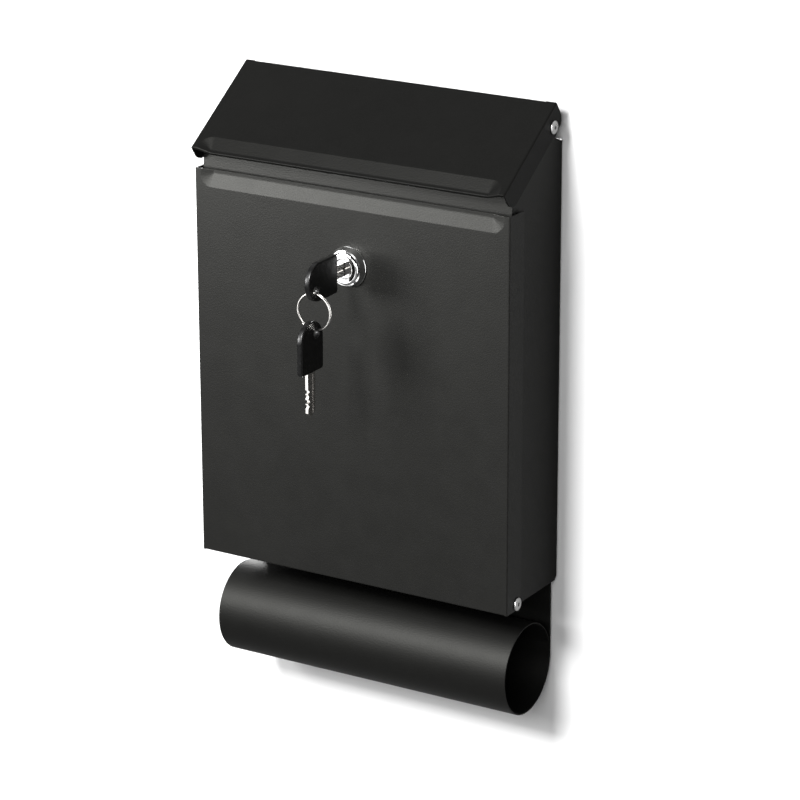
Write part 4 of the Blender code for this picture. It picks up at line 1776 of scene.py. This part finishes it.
@dataclass
class Studio:
    """White wall, pale floor, soft lights mostly from the upper front, and the camera."""

    size: float = 8.0
    wall_y: float = 0.0012
    floor_z: float = -1.20
    azimuth: float = 31.139
    elevation: float = 18.850
    roll: float = -0.134
    distance: float = 2.0947
    shift: Point2 = (-0.00410, -0.05070)
    pivot_z: float = 0.0125
    lens: float = 156.24
    sensor: float = 36.0

    def plane(self, name: str, size: float, matrix: Matrix) -> Item:
        """A large stage plane.

        Args:
            name: The plane's name.
            size: Its width.
            matrix: Its place.

        Returns:
            The plane.
        """
        nothing_selected()
        bpy.ops.mesh.primitive_plane_add(size=size)
        item = named(bpy.context.object, name)
        item.matrix_world = matrix
        settle(item)
        return item

    def backdrop_material(self, name: str, shade: float, seen: float) -> bpy.types.Material:
        """Matt white with a faint mottle, seen from its front only.

        Args:
            name: The material's name.
            shade: How light it looks.
            seen: How light it is to everything else, so that black paint stays black beside it.

        Returns:
            The material.
        """
        material, tree, shader, where = start_material(name)
        mottle = tree.noise(where, 14.0, 3.0)
        light = [shade] * 3
        dark = [shade * 0.985] * 3
        tree.link(two_tone(tree, mottle, dark, light), shader.inputs["Base Color"])
        rough = tree.spread(mottle, (0.0, 1.0), (0.85, 0.95))
        tree.link(rough, shader.inputs["Roughness"])
        shader.inputs["Specular IOR Level"].default_value = 0.2
        dim = tree.add("ShaderNodeBsdfDiffuse")
        dim.inputs["Color"].default_value = (seen, seen, seen, 1.0)
        path = tree.add("ShaderNodeLightPath")
        by_ray = tree.add("ShaderNodeMixShader")
        tree.link(path.outputs["Is Camera Ray"], by_ray.inputs["Fac"])
        tree.link(dim.outputs["BSDF"], by_ray.inputs[1])
        tree.link(shader.outputs["BSDF"], by_ray.inputs[2])
        clear = tree.add("ShaderNodeBsdfTransparent")
        facing = tree.add("ShaderNodeNewGeometry")
        mix = tree.add("ShaderNodeMixShader")
        output = material.node_tree.nodes["Material Output"]
        tree.link(facing.outputs["Backfacing"], mix.inputs["Fac"])
        tree.link(by_ray.outputs["Shader"], mix.inputs[1])
        tree.link(clear.outputs["BSDF"], mix.inputs[2])
        tree.link(mix.outputs["Shader"], output.inputs["Surface"])
        return material

    def area(self, name: str, spot: Vector, target: Vector, size: Point2, power: float) -> Item:
        """A rectangular soft light aimed at a target.

        Args:
            name: The light's name.
            spot: Where it stands.
            target: What it points at.
            size: Its width and height.
            power: Its power in watts.

        Returns:
            The light.
        """
        lamp = bpy.data.lights.new(name, "AREA")
        lamp.shape = "RECTANGLE"
        lamp.size, lamp.size_y = size
        lamp.energy = power
        item = bpy.data.objects.new(name, lamp)
        bpy.context.scene.collection.objects.link(item)
        item.location = spot
        item.rotation_euler = (target - spot).to_track_quat("-Z", "Y").to_euler()
        return item

    def build_world(self) -> None:
        """A soft room: pale low down and in front, darker overhead."""
        world = bpy.data.worlds.new("room")
        world.use_nodes = True
        bpy.context.scene.world = world
        tree = Tree(world.node_tree)
        where = tree.add("ShaderNodeTexCoord").outputs["Generated"]
        parts = tree.add("ShaderNodeSeparateXYZ")
        tree.link(where, parts.inputs[0])
        up = tree.spread(parts.outputs["Z"], (-0.2, 0.7), (0.0, 1.0))
        shade = two_tone(tree, up, (0.10, 0.10, 0.10), (0.02, 0.02, 0.02))
        background = world.node_tree.nodes["Background"]
        tree.link(shade, background.inputs["Color"])
        background.inputs["Strength"].default_value = 0.9

    def build_camera(self) -> None:
        """The camera, aimed by angles and a small roll."""
        azimuth, elevation = math.radians(self.azimuth), math.radians(self.elevation)
        roll = math.radians(self.roll)
        back = Vector(
            (
                math.sin(azimuth) * math.cos(elevation),
                -math.cos(azimuth) * math.cos(elevation),
                math.sin(elevation),
            )
        )
        right = Vector((math.cos(azimuth), math.sin(azimuth), 0.0))
        up = back.cross(right)
        rolled_right = right * math.cos(roll) + up * math.sin(roll)
        rolled_up = up * math.cos(roll) - right * math.sin(roll)
        target = rolled_right * self.shift[0] + rolled_up * self.shift[1]
        target += Vector((0, 0, self.pivot_z))
        camera = bpy.data.cameras.new("camera")
        camera.lens = self.lens
        camera.sensor_width = self.sensor
        camera.clip_start = 0.05
        item = bpy.data.objects.new("camera", camera)
        bpy.context.scene.collection.objects.link(item)
        axes = Matrix((rolled_right, rolled_up, back)).transposed().to_4x4()
        item.matrix_world = Matrix.Translation(target + back * self.distance) @ axes
        bpy.context.scene.camera = item

    def light_only(self, name: str, pieces: Sequence[Item], *lamps: Item) -> bpy.types.Collection:
        """Lets some lights fall on certain pieces only.

        Args:
            name: A name for the group of pieces.
            pieces: The pieces that they light.
            lamps: The lights.

        Returns:
            The collection that holds the pieces.
        """
        lit = bpy.data.collections.new(name)
        for piece in pieces:
            lit.objects.link(piece)
        for lamp in lamps:
            lamp.light_linking.receiver_collection = lit
        return lit

    def build(self, pieces: Sequence[Item], metals: Sequence[Item]) -> None:
        """Sets up the stage, the lights and the camera.

        Args:
            pieces: Every piece of the mailbox.
            metals: The bare metal pieces, which have lights of their own.
        """
        upright = Matrix.Rotation(math.pi / 2, 4, "X")
        wall_place = Matrix.Translation((0, self.wall_y, self.size / 2 + self.floor_z)) @ upright
        wall = self.plane("wall", self.size, wall_place)
        wall.data.materials.append(self.backdrop_material("wall_white", 0.94, 0.24))
        floor_place = Matrix.Translation((0, -self.size / 2, self.floor_z))
        floor = self.plane("floor", self.size, floor_place)
        floor.data.materials.append(self.backdrop_material("floor_white", 0.86, 0.22))
        middle = Vector((0, -0.03, 0.0))
        self.area("key_light", Vector((-0.22, -1.95, 1.35)), middle, (0.6, 0.6), 82.0)
        self.area("side_light", Vector((-0.50, -0.66, 0.18)), middle, (0.26, 0.26), 4.3)
        self.area("fill_light", Vector((0.9, -2.2, 0.7)), middle, (1.2, 1.2), 20.0)
        lock = Vector((0, -0.08, 0.06))
        cards = (
            self.area("metal_front", Vector((-0.50, -0.85, -0.20)), lock, (1.20, 1.20), 8.0),
            self.area("metal_top", Vector((-0.35, -0.45, 0.75)), lock, (0.80, 0.50), 6.0),
            self.area("metal_right", Vector((0.75, -0.40, 0.05)), lock, (0.30, 0.80), 3.5),
        )
        self.light_only("metal_pieces", metals, *cards)
        rear = self.area("rear_light", Vector((-0.60, 1.35, 0.45)), middle, (0.7, 0.7), 26.0)
        rear.light_linking.blocker_collection = self.light_only("all_pieces", pieces, rear)
        self.build_world()
        self.build_camera()
        bpy.context.scene.view_settings.view_transform = "Standard"


def main() -> None:
    logging.basicConfig(level=logging.INFO, format="%(name)s: %(message)s")
    BodyShell().build()
    Floor().build()
    Fascia().build()
    NewspaperTube().build()
    Lid().build()
    Door().build()
    for right, word in ((False, "left"), (True, "right")):
        BlindRivet(f"lid_rivet_{word}", LID_PIVOT, Lid.half, right).build()
        BlindRivet(f"door_rivet_{word}", DOOR_PIVOT, Door.half, right).build()
    CamLock().build()
    Key("key_blade", "key_head", "key", False).build()
    SplitRing().build()
    Key("spare_key_blade", "spare_key_head", "spare_key", True).build()
    bare = {RIVET_METAL.name, CHROME.name, ZINC.name, BRASS.name, NICKEL.name}
    pieces = [item for item in bpy.data.objects if "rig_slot" in item]
    Studio().build(pieces, [item for item in pieces if item["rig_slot"] in bare])


if __name__ == "__main__":
    main()
